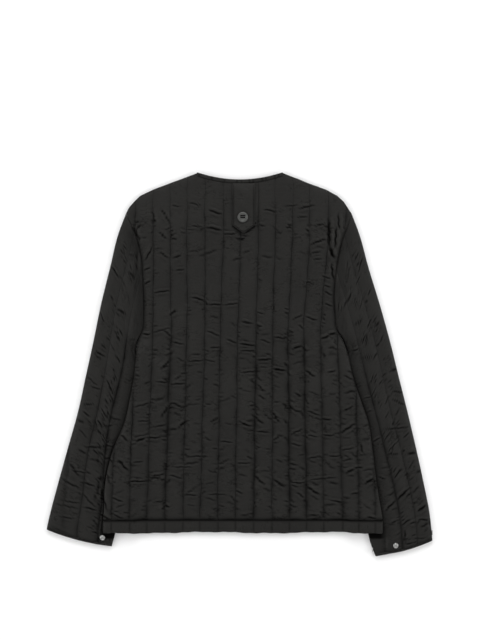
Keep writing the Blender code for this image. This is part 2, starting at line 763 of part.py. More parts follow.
def make_button(material):
    """The sew-through button on the tab, with two plain slots."""
    profile = ((0, 2.2), (6.2, 2.2), (6.8, 3.2), (8.6, 3.4), (9.8, 2.6), (10, 1.4), (8.5, 0), (0, 0))
    made = turned("button", [(radius / 10 * BUTTON_RADIUS, height) for radius, height in profile], 28, material)
    x, down = BUTTON_PLACE
    base = float(crest(TAB_MIDDLE, down)) + TAB_THICKNESS + 2 * SEAM_GAP
    place(made, x, down, base)
    for number, offset in enumerate((-1.7, 1.7)):
        bpy.ops.mesh.primitive_cube_add(size=1)
        slot = bpy.context.object
        slot.name = f"cutter_slot_{number}"
        slot.scale = (6.0 * MM, 1.3 * MM, 8.0 * MM)
        place(slot, x, down + offset, base + 1.0)
        slot.hide_render = True
        slot.display_type = "WIRE"
        for collection in slot.users_collection:
            collection.objects.unlink(slot)
        cutters.objects.link(slot)
        cut = made.modifiers.new(f"slot_{number}", "BOOLEAN")
        cut.operation = "DIFFERENCE"
        cut.object = slot
        cut.solver = "EXACT"


def make_bartack(material):
    """The short bar of close stitching below the tab's point."""
    x, down = BARTACK_PLACE
    width, depth, height = (size * MM for size in BARTACK_SIZE)
    bpy.ops.mesh.primitive_cube_add(size=1)
    made = bpy.context.object
    made.name = "bartack"
    made.data.transform(Matrix.Diagonal((width, depth, height, 1.0)))
    made.data.materials.append(material)
    ground = height_below(["back"], x, down, BARTACK_SIZE[0] / 2, BARTACK_SIZE[1] / 2)
    place(made, x, down, ground + SEAM_GAP + BARTACK_SIZE[2] / 2)
    bevel = made.modifiers.new("edges", "BEVEL")
    bevel.width = 0.3 * MM
    bevel.segments = 1
    for collection in made.users_collection:
        collection.objects.unlink(made)
    parts.objects.link(made)


def make_snaps(material):
    """The domed metal caps of the cuffs' snaps: one on top of each cuff, two on the right cuff's edges."""
    dome = ((0, SNAP_HEIGHT), (2.2, 1.5), (3.8, 1.1), (SNAP_RADIUS, 0.5), (SNAP_RADIUS, 0), (0, 0))
    for side, (x, down) in SNAP_PLACES.items():
        cloth = [f"sleeve_{side}", f"cuff_binding_{side}"]
        ground = height_below(cloth, x, down, SNAP_RADIUS, SNAP_RADIUS)
        place(turned(f"cuff_snap_{side}", dome, 20, material), x, down, ground + SEAM_GAP)
    for name, down, facing in EDGE_SNAPS:
        made = turned(f"cuff_snap_right_{name}", dome, 20, material)
        before, edge, after = (float(sleeve_edge("right", facing, down + step)) for step in (-5, 0, 5))
        place(made, edge + facing * EDGE_SNAP_GAP, down, LAYER_MIDDLE)
        made.rotation_euler = (0.0, facing * math.pi / 2, math.atan((after - before) / 10))


for old in list(bpy.data.objects):
    bpy.data.objects.remove(old, do_unlink=True)
parts = bpy.data.collections.new("quilted_jacket")
cutters = bpy.data.collections.new("cutters")
bpy.context.scene.collection.children.link(parts)
bpy.context.scene.collection.children.link(cutters)

quilted_nylon = make_material("quilted_nylon", (0.024, 0.023, 0.022), 0.5)
plain_nylon = make_material("plain_nylon", (0.022, 0.021, 0.021), 0.5)
thread = make_material("thread", (0.012, 0.012, 0.012), 0.7)
button_plastic = make_material("button_plastic", (0.16, 0.16, 0.14), 0.45)
snap_steel = make_material("snap_steel", (0.72, 0.72, 0.70), 0.3, 1.0)

make_back(quilted_nylon)
make_fronts(quilted_nylon)
make_sleeves(quilted_nylon)
make_cuff_bindings(plain_nylon)
make_hem_band(plain_nylon)
make_neck_bindings(plain_nylon)
make_neck_tab(plain_nylon)
make_button(button_plastic)
make_bartack(thread)
make_snaps(snap_steel)
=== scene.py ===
"""Finish of a quilted jacket without a collar, laid flat on its front with its back up.

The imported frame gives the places. Sizes are millimetres until a mesh is made: "x" runs to the right, "down"
runs from the neck points towards the cuffs, and "z" is the height above the surface. The columns "left" and
"right" of a table are distances from the middle line to that side of the wearer.
"""

import math

import bmesh
import bpy
import numpy as np
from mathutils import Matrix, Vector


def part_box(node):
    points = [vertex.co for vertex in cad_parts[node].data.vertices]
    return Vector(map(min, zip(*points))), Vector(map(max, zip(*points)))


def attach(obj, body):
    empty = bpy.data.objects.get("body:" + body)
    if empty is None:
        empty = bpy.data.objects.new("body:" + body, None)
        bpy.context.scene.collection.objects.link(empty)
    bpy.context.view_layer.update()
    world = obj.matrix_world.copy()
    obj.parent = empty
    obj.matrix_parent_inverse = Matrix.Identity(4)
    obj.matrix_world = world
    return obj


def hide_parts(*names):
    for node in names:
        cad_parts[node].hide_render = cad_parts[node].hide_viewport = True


bl_info = {
    "name": "Quilted jacket",
    "version": (1, 0, 0),
    "blender": (4, 5, 0),
    "location": "3D View > Sidebar > Jacket",
    "description": "Sews the quilted jacket's cloth, trims and stitches round its packed frame",
    "category": "Object",
}

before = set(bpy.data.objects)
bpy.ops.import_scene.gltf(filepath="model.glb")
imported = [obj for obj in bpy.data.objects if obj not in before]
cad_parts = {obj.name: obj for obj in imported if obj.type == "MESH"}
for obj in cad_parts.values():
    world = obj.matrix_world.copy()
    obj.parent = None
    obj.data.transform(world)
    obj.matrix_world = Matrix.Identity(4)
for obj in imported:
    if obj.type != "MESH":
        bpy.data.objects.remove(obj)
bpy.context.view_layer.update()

MM = 0.001
MIDDLE_DOWN = 365.7             # half way between the neck points and the lower cuff
SIDES = {"left": -1, "right": 1}

# Cloth, as in the frame's solids
FRONT_WALL = 5.0
LAYER_GAP = 0.5
BACK_WALL = 3.5
PUFF_POWER = 0.6                # under 1 makes a channel's top fuller
PUCKER = 0.16                   # share by which a channel's height varies along it
SEAM_GAP = 0.3
EDGE_RADIUS = 10.0
EDGE_WALL = 1.0
SEAM_FADE = 14.0
INNER_FLOOR = FRONT_WALL + LAYER_GAP
SEAM_TOP = INNER_FLOOR + BACK_WALL
LAYER_MIDDLE = FRONT_WALL + LAYER_GAP / 2
BODY_LIFT = SEAM_TOP + 0.6
LIFT_WIDTH = 35.0
LIFT_MARGIN = 15.0
LIFT_LENGTH = 35.0
UNDERARM = {"left": 310.0, "right": 300.0}

# Neck, tab and hem
NECK_HALF_WIDTH = 79.0
NECK_POINT_DOWN = 2.0
BACK_NECK_DROP = 13.0
FRONT_NECK_DROP = 93.0
NECK_BINDING = 7.0
HEM_SEAM_DOWN = 660.0
HEM_BAND = 22.0
HEM_WAVE = 1.2
TAB_WIDTH = 43.0
TAB_MIDDLE = 7.0
TAB_TIP_DOWN = 117.0
TAB_POINT = 15.0
TAB_THICKNESS = 2.2
CUFF_BINDING = 5.0
CUFF_BOW = 4.5                  # how far a cuff hangs below the straight line between its corners
UNDERARM_GAP = 0.6
FRAME_PUFF = 3.0                # rise of a channel in the frame
SHELL_WALL = 0.8                # least cloth above the inner side
FRONT_RECESS = 1.3              # depth of a front's grooves on the surface
HANG_HEIGHT = 0.2               # of the fronts above the surface at the underarms

# Cut of what shows: how much larger a quilted panel's cut is, and the area in square metres of some sheets
# that aren't rectangles
PUFF_EASE = 1.03                # how much larger a quilted panel's cut is than its plan
CUFF_AREA = 0.002
NECK_AREA = 0.0016
FRONT_NECK_AREA = 0.0014

# Stitches: length, radius and pitch, in metres
QUILT_STITCH = (0.0024, 0.00022, 0.0033)
HEM_STITCH = (0.0024, 0.0002, 0.0033)
NECK_STITCH = (0.0022, 0.00022, 0.003)
TRIM_STITCH = (0.0022, 0.0002, 0.003)
BAR_STITCH = (0.0021, 0.00033, 0.0021)
STITCH_LIFT = (0, 0, 0.0002)    # of a line of stitching above its groove
HEM_STITCH_LIFT = (0, 0, 0.0001)
NECK_STITCH_HEIGHT = 10.35      # millimetres
TAB_INSET = 3.0                 # of the tab's stitching from its edge
WEAVE_PITCH = 0.0007            # metres


def table(names, *rows):
    """A short table, as one array for each named column."""
    columns = zip(*rows)
    return {name: np.array(values, float) for name, values in zip(names.split(), columns)}


SHOULDER = table(
    "down left right",
    (2, 78, 80),
    (23, 134, 132),
    (34, 164, 163),
    (46, 189, 185),
    (57, 200, 197),
    (68, 210, 204),
    (80, 216, 212),
)
SLEEVE_OUTER = table(
    "down left right",
    (80, 216, 212),
    (114, 229, 225),
    (182, 246, 244),
    (251, 263, 265),
    (319, 277, 284),
    (388, 292, 301),
    (456, 307, 318),
    (524, 326, 334),
    (593, 345, 349),
    (650, 360, 360),
    (678, 366, 363),
    (700, 367, 365),
)
# The armhole seam down to the underarm, and the folded side of the body from there.
BODY_EDGE = table(
    "down left right",
    (80, 216, 212),
    (104, 204, 204),
    (130, 194, 194),
    (160, 187, 187),
    (200, 184, 181),
    (240, 182, 178),
    (270, 182, 180),
    (300, 184, 184),
    (318, 192, 194),
    (346, 196, 204),
    (385, 200, 213),
    (431, 208, 228),
    (475, 218, 243),
    (528, 240, 251),
    (585, 254, 258),
    (652, 258, 269),
    (682, 262, 274),
)
# How far a sleeve's inner edge passes under the side of the body, or under its line beyond the hem.
SLEEVE_TUCK = table(
    "down left right",
    (346, 0, 0),
    (365, 14, 18),
    (400, 42, 42),
    (500, 46, 46),
    (600, 40, 43),
    (650, 32, 35),
    (684, 27, 32),
    (710, 20, 25),
    (730, 16, 17),
)
# Lines of stitching on the back, from the wearer's left to right, by their place across.
QUILT_LINES = table(
    "line shoulder middle hem",
    (-7, -231, -230, -242),
    (-6, -198, -197, -209),
    (-5, -164, -164, -176),
    (-4, -132, -130, -142),
    (-3, -100, -100, -108),
    (-2, -66, -66, -75),
    (-1, -31, -37, -42),
    (0, 2, -4, -9),
    (1, 35, 31, 26),
    (2, 67, 62, 61),
    (3, 100, 91, 94),
    (4, 132, 121, 126),
    (5, 168, 152, 159),
    (6, 201, 184, 194),
    (7, 234, 216, 225),
    (8, 267, 247, 256),
)
QUILT_LEVELS = (129.0, 294.0, 642.0)    # down to the columns shoulder, middle and hem
FIRST_LINE, LAST_LINE = -7, 8
OUTER_LINE = 5                          # the last line that runs the whole length
LINE_END = 4.0                          # distance from the edge at which the others end
LINE_CATCH = 3.0                        # distance from a line within which a point is moved onto it
ON_LINE = 0.05                          # distance from a line within which a point lies on it
LEAST_RUN = 6                           # rows that a line has to run for to be stitched
HEAVY_LINES = (-4, 1, 3, 4)             # with more creases, and wider, stronger painted shade along them
HEAVY_DOWN = 290.0                      # from here on
# Lines of stitching on the sleeves, by their distance from the sleeve's outer edge.
SLEEVE_LINES = table(
    "down left_first left_second right_first right_second",
    (80, 30, 61, 29, 62),
    (285, 30, 61, 29, 62),
    (384, 35, 66, 30, 62),
    (460, 37, 64, 32, 61),
    (524, 40, 72, 30, 60),
    (642, 56, 95, 29, 58),
    (730, 60, 100, 29, 58),
)
# A short line on the left sleeve that runs in from its outer edge, by its distance from that edge.
SHORT_LINE = table("down reach", (500, -4), (560, 10), (642, 24), (710, 40))
CUFF_CORNERS = table("corner left right", (0, 678, 699), (1, 710, 729))     # outer, inner

# The main creases: where each begins and ends, and its depth beside that of a channel.
CREASES = table(
    "x down end_x end_down depth",
    (-97, 59, -73, 64, 0.8),
    (-128, 63, -113, 66, 0.8),
    (84, 66, 110, 64, 0.8),
    (-150, 69, -132, 101, 0.8),
    (-166, 72, -158, 101, 0.8),
    (-59, 72, -33, 81, 1.2),
    (110, 72, 142, 64, 1.2),
    (46, 72, 72, 78, 0.8),
    (187, 77, 189, 114, 0.8),
    (168, 82, 168, 146, 1.2),
    (107, 89, 128, 86, 0.8),
    (-203, 98, -188, 136, 1.2),
    (-92, 102, -68, 104, 0.8),
    (139, 104, 163, 98, 0.8),
    (-65, 106, -33, 113, 1.2),
    (-152, 114, -138, 128, 0.8),
    (-31, 118, -7, 117, 0.8),
    (131, 140, 163, 128, 1.2),
    (168, 146, 176, 162, 1.2),
    (-150, 152, -134, 164, 0.8),
    (-211, 157, -196, 158, 0.8),
    (134, 157, 152, 152, 0.8),
    (139, 168, 155, 165, 0.8),
    (-181, 170, -164, 138, 0.8),
    (-122, 188, -105, 185, 0.8),
    (-181, 189, -169, 182, 0.8),
    (-211, 190, -198, 200, 0.8),
    (155, 197, 173, 202, 0.8),
    (124, 210, 136, 211, 0.8),
    (-180, 215, -169, 207, 0.8),
    (158, 215, 173, 218, 0.8),
    (160, 227, 176, 234, 0.8),
    (-166, 231, -129, 226, 0.9),
    (-92, 238, -65, 245, 0.9),
    (-65, 245, -60, 253, 0.9),
    (160, 250, 176, 255, 0.8),
    (-60, 253, -31, 253, 0.9),
    (-31, 253, -1, 249, 0.9),
    (179, 254, 195, 258, 0.8),
    (195, 258, 211, 234, 0.8),
    (-235, 261, -214, 270, 1.2),
    (32, 266, 46, 269, 0.8),
    (123, 273, 147, 282, 0.8),
    (99, 282, 120, 271, 0.8),
    (3, 283, 25, 289, 0.8),
    (4, 285, 20, 287, 0.8),
    (216, 290, 232, 281, 0.8),
    (-145, 301, -130, 313, 0.8),
    (-63, 301, -36, 313, 0.8),
    (-184, 307, -169, 307, 1.2),
    (168, 310, 183, 305, 1.2),
    (62, 314, 91, 318, 0.8),
    (-25, 317, -4, 325, 0.8),
    (152, 317, 168, 310, 1.2),
    (38, 318, 59, 326, 0.8),
    (-209, 319, -193, 319, 0.8),
    (227, 319, 245, 317, 0.8),
    (-129, 322, -105, 327, 0.8),
    (-1, 327, 20, 329, 0.8),
    (1, 327, 30, 330, 0.8),
    (118, 330, 128, 340, 1.2),
    (-57, 334, -36, 332, 0.8),
    (99, 338, 118, 330, 1.2),
    (-2, 339, 32, 339, 0.8),
    (207, 340, 225, 335, 0.8),
    (-273, 342, -254, 351, 0.8),
    (227, 354, 251, 351, 0.8),
    (32, 356, 62, 355, 0.8),
    (32, 357, 59, 354, 0.8),
    (-94, 360, -68, 359, 0.8),
    (-148, 372, -132, 367, 0.8),
    (-148, 373, -132, 354, 1.2),
    (62, 373, 86, 377, 0.8),
    (62, 375, 88, 378, 0.8),
    (123, 375, 142, 389, 1.2),
    (165, 380, 181, 375, 0.8),
    (1, 381, 38, 378, 0.8),
    (-113, 385, -97, 381, 0.8),
    (-121, 394, -113, 385, 0.8),
    (-158, 397, -132, 398, 0.8),
    (32, 402, 46, 418, 0.8),
    (-132, 403, -100, 402, 0.8),
    (-281, 407, -262, 411, 0.8),
    (288, 415, 309, 418, 0.8),
    (104, 421, 115, 426, 0.8),
    (35, 423, 48, 431, 0.8),
    (288, 429, 314, 442, 0.8),
    (123, 431, 131, 442, 0.8),
    (-132, 437, -108, 447, 0.8),
    (-297, 441, -275, 439, 0.8),
    (94, 447, 115, 455, 0.8),
    (59, 453, 75, 477, 1.2),
    (127, 453, 152, 463, 0.8),
    (195, 453, 213, 442, 0.8),
    (22, 458, 46, 479, 1.2),
    (-148, 466, -134, 445, 1.2),
    (152, 469, 173, 469, 1.2),
    (-193, 471, -166, 470, 0.8),
    (1, 474, 20, 483, 0.8),
    (-57, 477, -39, 466, 0.8),
    (2, 477, 25, 482, 0.8),
    (-257, 482, -241, 479, 1.2),
    (-164, 484, -137, 479, 0.8),
    (-116, 487, -100, 471, 1.2),
    (272, 487, 320, 483, 0.8),
    (30, 491, 59, 494, 0.8),
    (-225, 498, -211, 511, 0.8),
    (96, 498, 120, 487, 0.8),
    (152, 498, 181, 498, 0.8),
    (184, 498, 221, 474, 1.2),
    (126, 500, 147, 503, 0.8),
    (-177, 503, -150, 503, 1.2),
    (227, 508, 235, 538, 0.8),
    (-196, 511, -177, 503, 1.2),
    (-39, 511, -12, 514, 0.8),
    (62, 511, 75, 498, 0.8),
    (96, 514, 118, 519, 0.8),
    (-259, 522, -246, 508, 0.8),
    (-294, 522, -262, 522, 1.2),
    (-262, 522, -249, 515, 1.2),
    (189, 527, 216, 522, 0.8),
    (277, 535, 301, 536, 0.8),
    (322, 535, 333, 532, 0.8),
    (168, 538, 189, 536, 0.8),
    (-251, 540, -238, 551, 0.8),
    (-97, 540, -60, 540, 0.8),
    (-230, 543, -209, 567, 1.2),
    (126, 543, 152, 538, 0.8),
    (195, 548, 211, 543, 0.8),
    (-203, 551, -182, 548, 0.8),
    (-7, 551, 22, 551, 0.8),
    (-126, 559, -89, 559, 0.8),
    (216, 562, 232, 559, 1.2),
    (-318, 566, -281, 572, 0.8),
    (-251, 567, -243, 594, 0.8),
    (-261, 570, -275, 626, 1.2),
    (200, 572, 216, 562, 1.2),
    (25, 572, 48, 594, 1.2),
    (-169, 575, -142, 572, 0.8),
    (-134, 575, -113, 580, 0.8),
    (261, 578, 275, 583, 0.8),
    (62, 580, 88, 599, 1.2),
    (131, 583, 184, 578, 0.8),
    (-209, 586, -177, 587, 0.8),
    (-305, 587, -273, 596, 0.8),
    (94, 588, 126, 588, 0.8),
    (235, 591, 253, 579, 1.2),
    (238, 591, 252, 580, 0.8),
    (-265, 594, -249, 644, 1.2),
    (126, 594, 152, 612, 1.2),
    (-10, 604, 6, 610, 0.8),
    (107, 607, 123, 620, 0.8),
    (208, 610, 229, 604, 0.8),
    (-102, 611, -78, 612, 0.8),
    (-60, 612, -25, 612, 0.8),
    (-246, 615, -219, 625, 0.8),
    (168, 621, 203, 625, 0.8),
    (296, 623, 317, 602, 1.2),
    (275, 644, 296, 623, 1.2),
    (336, 644, 352, 631, 1.2),
    (-238, 647, -219, 655, 0.8),
    (-242, 661, -248, 709, 0.8),
    (322, 668, 336, 663, 0.8),
    (313, 676, 313, 707, 0.9),
    (273, 692, 273, 716, 1.0),
    (168, 84, 169, 152, 1.5),
    (170, 141, 178, 167, 1.4),
    (174, 171, 179, 211, 1.3),
    (183, 103, 180, 148, 1.0),
    (337, 659, 358, 661, 0.9),
    (358, 661, 362, 671, 0.8),
    (288, 665, 295, 659, 0.9),
    (328, 695, 351, 694, 0.6),
    (-265, 649, -242, 660, 1.3),
    (240, 652, 261, 656, 1.2),
    (0, 128, 7, 128, 1.2),
    (-257, 661, -259, 709, 0.7),
    (-280, 682, -267, 686, 0.8),
    (-341, 652, -314, 656, 0.8),
    (-333, 623, -303, 627, 0.8),
    (-295, 636, -271, 642, 0.8),
    (-206, 103, -191, 129, 1.2),
    (-193, 148, -195, 196, 0.9),
)

# Small creases of the body: where they start and end, their strength off a common line, and their lean
GATHERS_START = 95
CROSSING_START = 120
CREASES_END = 650
COMMON_STRENGTH = 0.65
LEAN = 24.0                             # degrees

# Fineness of the cloth's grids
TOP_INSETS = (0.0, 1.0, 2.5, 4.5, 7.0)
BODY_LEVEL_DOWN = 330.0
BODY_UPPER_ROWS = 225
BODY_LOWER_ROWS = 235
HEM_ROWS = (10.0, 8.0, 6.0, 4.5, 3.0, 1.5, 0.0)
CHANNEL_SHARES = (0.0, 0.04, 0.11, 0.21, 0.32, 0.44, 0.56, 0.68, 0.79, 0.89, 0.96)
OUTER_COLUMNS = 24
FRONT_SHARES = (0.0, 0.04, 0.12, 0.3, 0.5, 0.7, 0.88, 0.96)
FRONT_UPPER_ROWS = 60
FRONT_LOWER_ROWS = 60
LINING_STEPS = (4, 4)           # the plain inner side has one row and column for so many outside
TAB_STEPS = (8, 8)
SLEEVE_STATIONS = 480
SLEEVE_INNER_STATIONS = 14
HEM_UNDER_STATIONS = 90
HEM_UPPER_STATIONS = 240
NECK_STATIONS = 90
BUTTON_STATIONS = 72
SNAP_STATIONS = 48
FOLD_STEPS = (2, 3)             # rows between the points that a fold is measured from
BACK_FOLD_PAINTED_SHADE = 0.42           # how much shade is painted in the deepest folds
SLEEVE_FOLD_PAINTED_SHADE = 0.5

# Sleeves
HOLLOW_INSET = 6.0
HEAD_LENGTH = 0.35
UNDERARM_LENGTH = 0.15
UNDERARM_SHARE = 0.277
UNDERARM_END = 352.0
HIDDEN_WIDTH = 8.0
HIDDEN_COLUMNS = 9              # columns held at the side of the body and under it
SLEEVE_LENGTH = 600.0


# ---- Curves and surfaces ----


def read(rows, name, down):
    """A column of a table at a distance down: a cubic through its rows, each slope the mean of its sides."""
    at, values = rows["down"], rows[name]
    slopes = np.gradient(values, at)
    down = np.clip(np.asarray(down, float), at[0], at[-1])
    row = np.clip(np.searchsorted(at, down) - 1, 0, len(at) - 2)
    step = at[row + 1] - at[row]
    t = (down - at[row]) / step
    start = (1 + 2 * t) * (1 - t) ** 2 * values[row] + t * (1 - t) ** 2 * step * slopes[row]
    end = t**2 * (3 - 2 * t) * values[row + 1] - t**2 * (1 - t) * step * slopes[row + 1]
    return start + end


def bell(off, width):
    """1 on a line and less beside it: e to minus the square of the distance over a width."""
    return np.exp(-((off / width) ** 2))


def smooth(t):
    """0 up to 0, 1 from 1, and three squares less two cubes between."""
    t = np.clip(t, 0, 1)
    return t * t * (3 - 2 * t)


def rounding(inset):
    """Height of a quarter round at a distance in from a folded edge, 0 to 1."""
    t = np.clip(np.asarray(inset, float) / EDGE_RADIUS, 0, 1)
    return np.sqrt(1 - (1 - t) ** 2)


def fade(inset):
    """How far a channel has risen at a distance in from a seam: the root of its share of the fading width."""
    return np.sqrt(np.clip(np.asarray(inset, float) / SEAM_FADE, 0, 1))


def channel_top(share):
    """A channel's rounded section, 0 at its two lines of stitching: a power of half a sine wave."""
    return np.abs(np.sin(math.pi * share)) ** PUFF_POWER


def puckered(along, channel):
    """Height of a channel's crest along its length: 1 and two slow waves, shifted from channel to channel."""
    return 1 + PUCKER * (np.sin(along / 9.7 + 2.3 * channel) + np.sin(along / 23.0 - 1.7 * channel)) / 2


def quilt_x(line, down):
    """Place across of a line of stitching, or a share between two: straight between levels, and wavy."""
    lines = QUILT_LINES["line"]
    levels = ("shoulder", "middle", "hem")
    shoulder, middle, hem = (np.interp(line, lines, QUILT_LINES[level]) for level in levels)
    top, centre, bottom = QUILT_LEVELS
    upper = np.clip((down - top) / (centre - top), 0, 1)
    lower = np.clip((down - centre) / (bottom - centre), 0, 1)
    waver = 0.5 * np.sin(down / 31.0 + 2.1 * line) + 0.4 * np.sin(down / 13.0 + 3.7 * line)
    waver = waver + 0.3 * np.sin(down / 5.3 + 5.1 * line)
    return shoulder + (middle - shoulder) * upper + (hem - middle) * lower + waver


def quilt_place(x, down):
    """The line of stitching at each place, as a share between two: the one before and the way to the next."""
    lines = QUILT_LINES["line"]
    places = quilt_x(lines, np.asarray(down, float)[..., None])
    below = np.clip((places <= np.asarray(x, float)[..., None]).sum(-1) - 1, 0, len(lines) - 2)
    low = np.take_along_axis(places, below[..., None], -1)[..., 0]
    high = np.take_along_axis(places, below[..., None] + 1, -1)[..., 0]
    return lines[below] + np.clip((x - low) / (high - low), 0, 1)


def body_edge(side, down):
    """Distance from the middle line to the body's edge."""
    return read(BODY_EDGE, side, down)


def shoulder_down(x):
    """Distance down to the shoulder edge at a place across."""
    left = np.interp(-x, SHOULDER["left"], SHOULDER["down"])
    right = np.interp(x, SHOULDER["right"], SHOULDER["down"])
    return np.where(x < 0, left, right)


def back_neck_down(x):
    """Distance down to the finished edge of the back neck: a shallow parabola between the neck points."""
    return NECK_POINT_DOWN + BACK_NECK_DROP * (1 - np.minimum(np.abs(x) / NECK_HALF_WIDTH, 1) ** 2)


def back_top(x):
    """Distance down to the top of the back: the neck seam in the middle, the shoulders beside it."""
    seam = back_neck_down(x) + NECK_BINDING + SEAM_GAP
    return np.where(np.abs(x) < NECK_HALF_WIDTH, seam, shoulder_down(x))


def front_top(x):
    """Distance down to the top of a front: its deeper neck seam, half an ellipse, and the shoulder."""
    seam = NECK_BINDING + SEAM_GAP
    across = np.minimum(np.abs(x) / (NECK_HALF_WIDTH + seam), 1)
    neck = NECK_POINT_DOWN + (FRONT_NECK_DROP + seam) * np.sqrt(1 - across**2)
    return np.where(across < 1, neck, shoulder_down(x))


def lift(x, down):
    """Height of the body's underside: on the surface, or raised in two soft steps over a sleeve."""
    x, down = np.broadcast_arrays(np.asarray(x, float), np.asarray(down, float))
    height = np.zeros(x.shape)
    for side, sign in SIDES.items():
        inner = body_edge(side, down) - read(SLEEVE_TUCK, side, down)
        across = smooth((sign * x - (inner - LIFT_MARGIN - LIFT_WIDTH)) / LIFT_WIDTH)
        along = smooth((down - UNDERARM[side]) / LIFT_LENGTH)
        height += BODY_LIFT * across * along
    return height


def column_table(shares):
    """The body's columns from left to right: kind (-1 or 1 at an edge, 0 inside), line or inset, and part."""
    insets = [(inset, 0.0) for inset in TOP_INSETS]
    insets += [(EDGE_RADIUS, part) for part in np.linspace(0, 1, OUTER_COLUMNS, endpoint=False)]
    lines = [line + share for line in range(-OUTER_LINE, OUTER_LINE) for share in shares] + [OUTER_LINE]
    left = [(-1, inset, part) for inset, part in insets]
    middle = [(0, line, 0.0) for line in lines]
    right = [(1, inset, part) for inset, part in reversed(insets)]
    return np.array(left + middle + right)


def column_x(columns, down):
    """Place across of each column: along its line of stitching, or from the edge towards the outer line."""
    kind, value, part = columns.T
    x = quilt_x(value, down)
    for side, sign in SIDES.items():
        edge = sign * (body_edge(side, down) - SEAM_GAP / 2 - value)
        x = np.where(kind == sign, edge + part * (quilt_x(sign * OUTER_LINE, down) - edge), x)
    return x


def body_plan(columns, top_edge, upper_rows, lower_rows):
    """Places across and down of a body panel's points, in rows that turn from its top edge to level."""
    bottom = HEM_SEAM_DOWN - SEAM_GAP
    top = top_edge(column_x(columns, np.full(len(columns), SHOULDER["down"][-1])))
    start = top + EDGE_RADIUS
    insets = top + np.array(TOP_INSETS)[:, None]
    upper = start + (BODY_LEVEL_DOWN - start) * np.linspace(0, 1, upper_rows, endpoint=False)[:, None]
    level = np.linspace(BODY_LEVEL_DOWN, bottom - 12, lower_rows)
    level = np.concatenate([level, bottom - np.array(HEM_ROWS)])
    down = np.concatenate([insets, upper, np.repeat(level[:, None], len(columns), axis=1)])
    return column_x(columns, down), down


def on_lines(x, down, columns):
    """Moves the nearest point of each row onto each line that ends at an edge, and says which points are
    stitched."""
    kind, value, _ = columns.T
    x = x.copy()
    stitched = (kind == 0) & (value == np.round(value))
    stitched = np.repeat(stitched[None], len(x), axis=0)
    for line in QUILT_LINES["line"]:
        if abs(line) <= OUTER_LINE:
            continue
        side = "left" if line < 0 else "right"
        off = x - quilt_x(line, down)
        off[:, kind != SIDES[side]] = np.inf
        nearest = np.abs(off).argmin(axis=1)
        rows = np.arange(len(x))
        reach = body_edge(side, down[rows, nearest]) - SIDES[side] * quilt_x(line, down[rows, nearest])
        on = (np.abs(off[rows, nearest]) < LINE_CATCH) & (reach > LINE_END)
        rows, nearest = rows[on], nearest[on]
        x[rows, nearest] = quilt_x(line, down[rows, nearest])
        stitched[rows, nearest] = True
    return x, stitched


def side_inset(side, x, down):
    """Distance in from one of the body's two side edges."""
    return np.maximum(body_edge(side, down) - SEAM_GAP / 2 - SIDES[side] * x, 0)


def edge_shape(x, down, top):
    """For a body panel: height of its rounded edges, 0 to 1, and how far its channels have risen."""
    rounded = np.ones(x.shape)
    risen = fade(HEM_SEAM_DOWN - SEAM_GAP - down) * fade(down - top)
    for side in SIDES:
        inset = side_inset(side, x, down)
        folded = smooth((down - UNDERARM[side]) / LIFT_LENGTH)
        rounded = rounded * (1 - folded * (1 - rounding(inset)))
        risen = risen * (1 - (1 - folded) * (1 - fade(inset)))
    on_shoulder = np.abs(x) > NECK_HALF_WIDTH + NECK_BINDING
    rounded = rounded * np.where(on_shoulder, rounding(down - top), 1)
    return rounded, risen


# ---- Creases ----


def creased(p, q, creases):
    """Creases at places (p, q): how deep, and how much shade is painted in their valleys and highlight on
    their ridges, 0 to 1. A crease is a sharp valley with a low ridge on both sides; it fades towards its ends
    and bends by a bow."""
    height, dark, light = np.zeros(p.shape), np.zeros(p.shape), np.zeros(p.shape)
    for x, down, length, slope, depth, width, bow in creases:
        width = width + 0.8 * abs(math.sin(slope))
        reach = length / 2 + 4 * width + abs(bow)
        near = (np.abs(p - x) < reach) & (np.abs(q - down) < reach)
        if not near.any():
            continue
        cos, sin = math.cos(slope), math.sin(slope)
        along = (p[near] - x) * cos + (q[near] - down) * sin
        across = (q[near] - down) * cos - (p[near] - x) * sin
        t = 2 * along / length
        across = across - bow * (1 - t**2) - 0.3 * width * np.sin(along / 2.3)
        ends = smooth(1.4 * (1 - np.abs(t)))
        valley = (1 + (across / width) ** 2) ** -1.5
        ridges = bell(np.abs(across) - 2.6 * width, 1.3 * width)
        height[near] += depth * ends * (valley - 0.4 * ridges)
        strength = min(depth, 1.0) ** 1.5 * ends
        # painted shade in the valley
        dark[near] = np.maximum(dark[near], strength * bell(across, 0.75 * width))
        # painted highlight on the ridges, stronger on one side than on the other
        light[near] = np.maximum(light[near], strength * ridges * (0.6 - 0.4 * np.sign(across)))
    return height, dark, light


def sunk(puff, taken):
    """A channel's height less what its creases take: three quarters of it, and half a millimetre."""
    return puff - taken * (0.75 * puff + 0.5)


def painted_mark(dark, light):
    """One mark for each point: how much shade is painted on it, or below 0 how much highlight."""
    return dark - 0.5 * light * (1 - np.minimum(dark, 1))


def joined(marks, more):
    """Marks with more painted shade over them."""
    return marks + more * (1 - np.maximum(marks, 0))


def placed_creases():
    """The main creases as middle, length, slope, depth, half width and bow, which varies with the row."""
    found = []
    rows = zip(*(CREASES[name] for name in ("x", "down", "end_x", "end_down", "depth")))
    for number, (x, down, end_x, end_down, depth) in enumerate(rows):
        length = 1.15 * math.hypot(end_x - x, end_down - down)
        slope = math.atan2(end_down - down, end_x - x)
        bow = 1.3 * math.sin(1.7 * number)
        found.append(((x + end_x) / 2, (down + end_down) / 2, length, slope, depth, 0.7 + 0.6 * depth, bow))
    return found


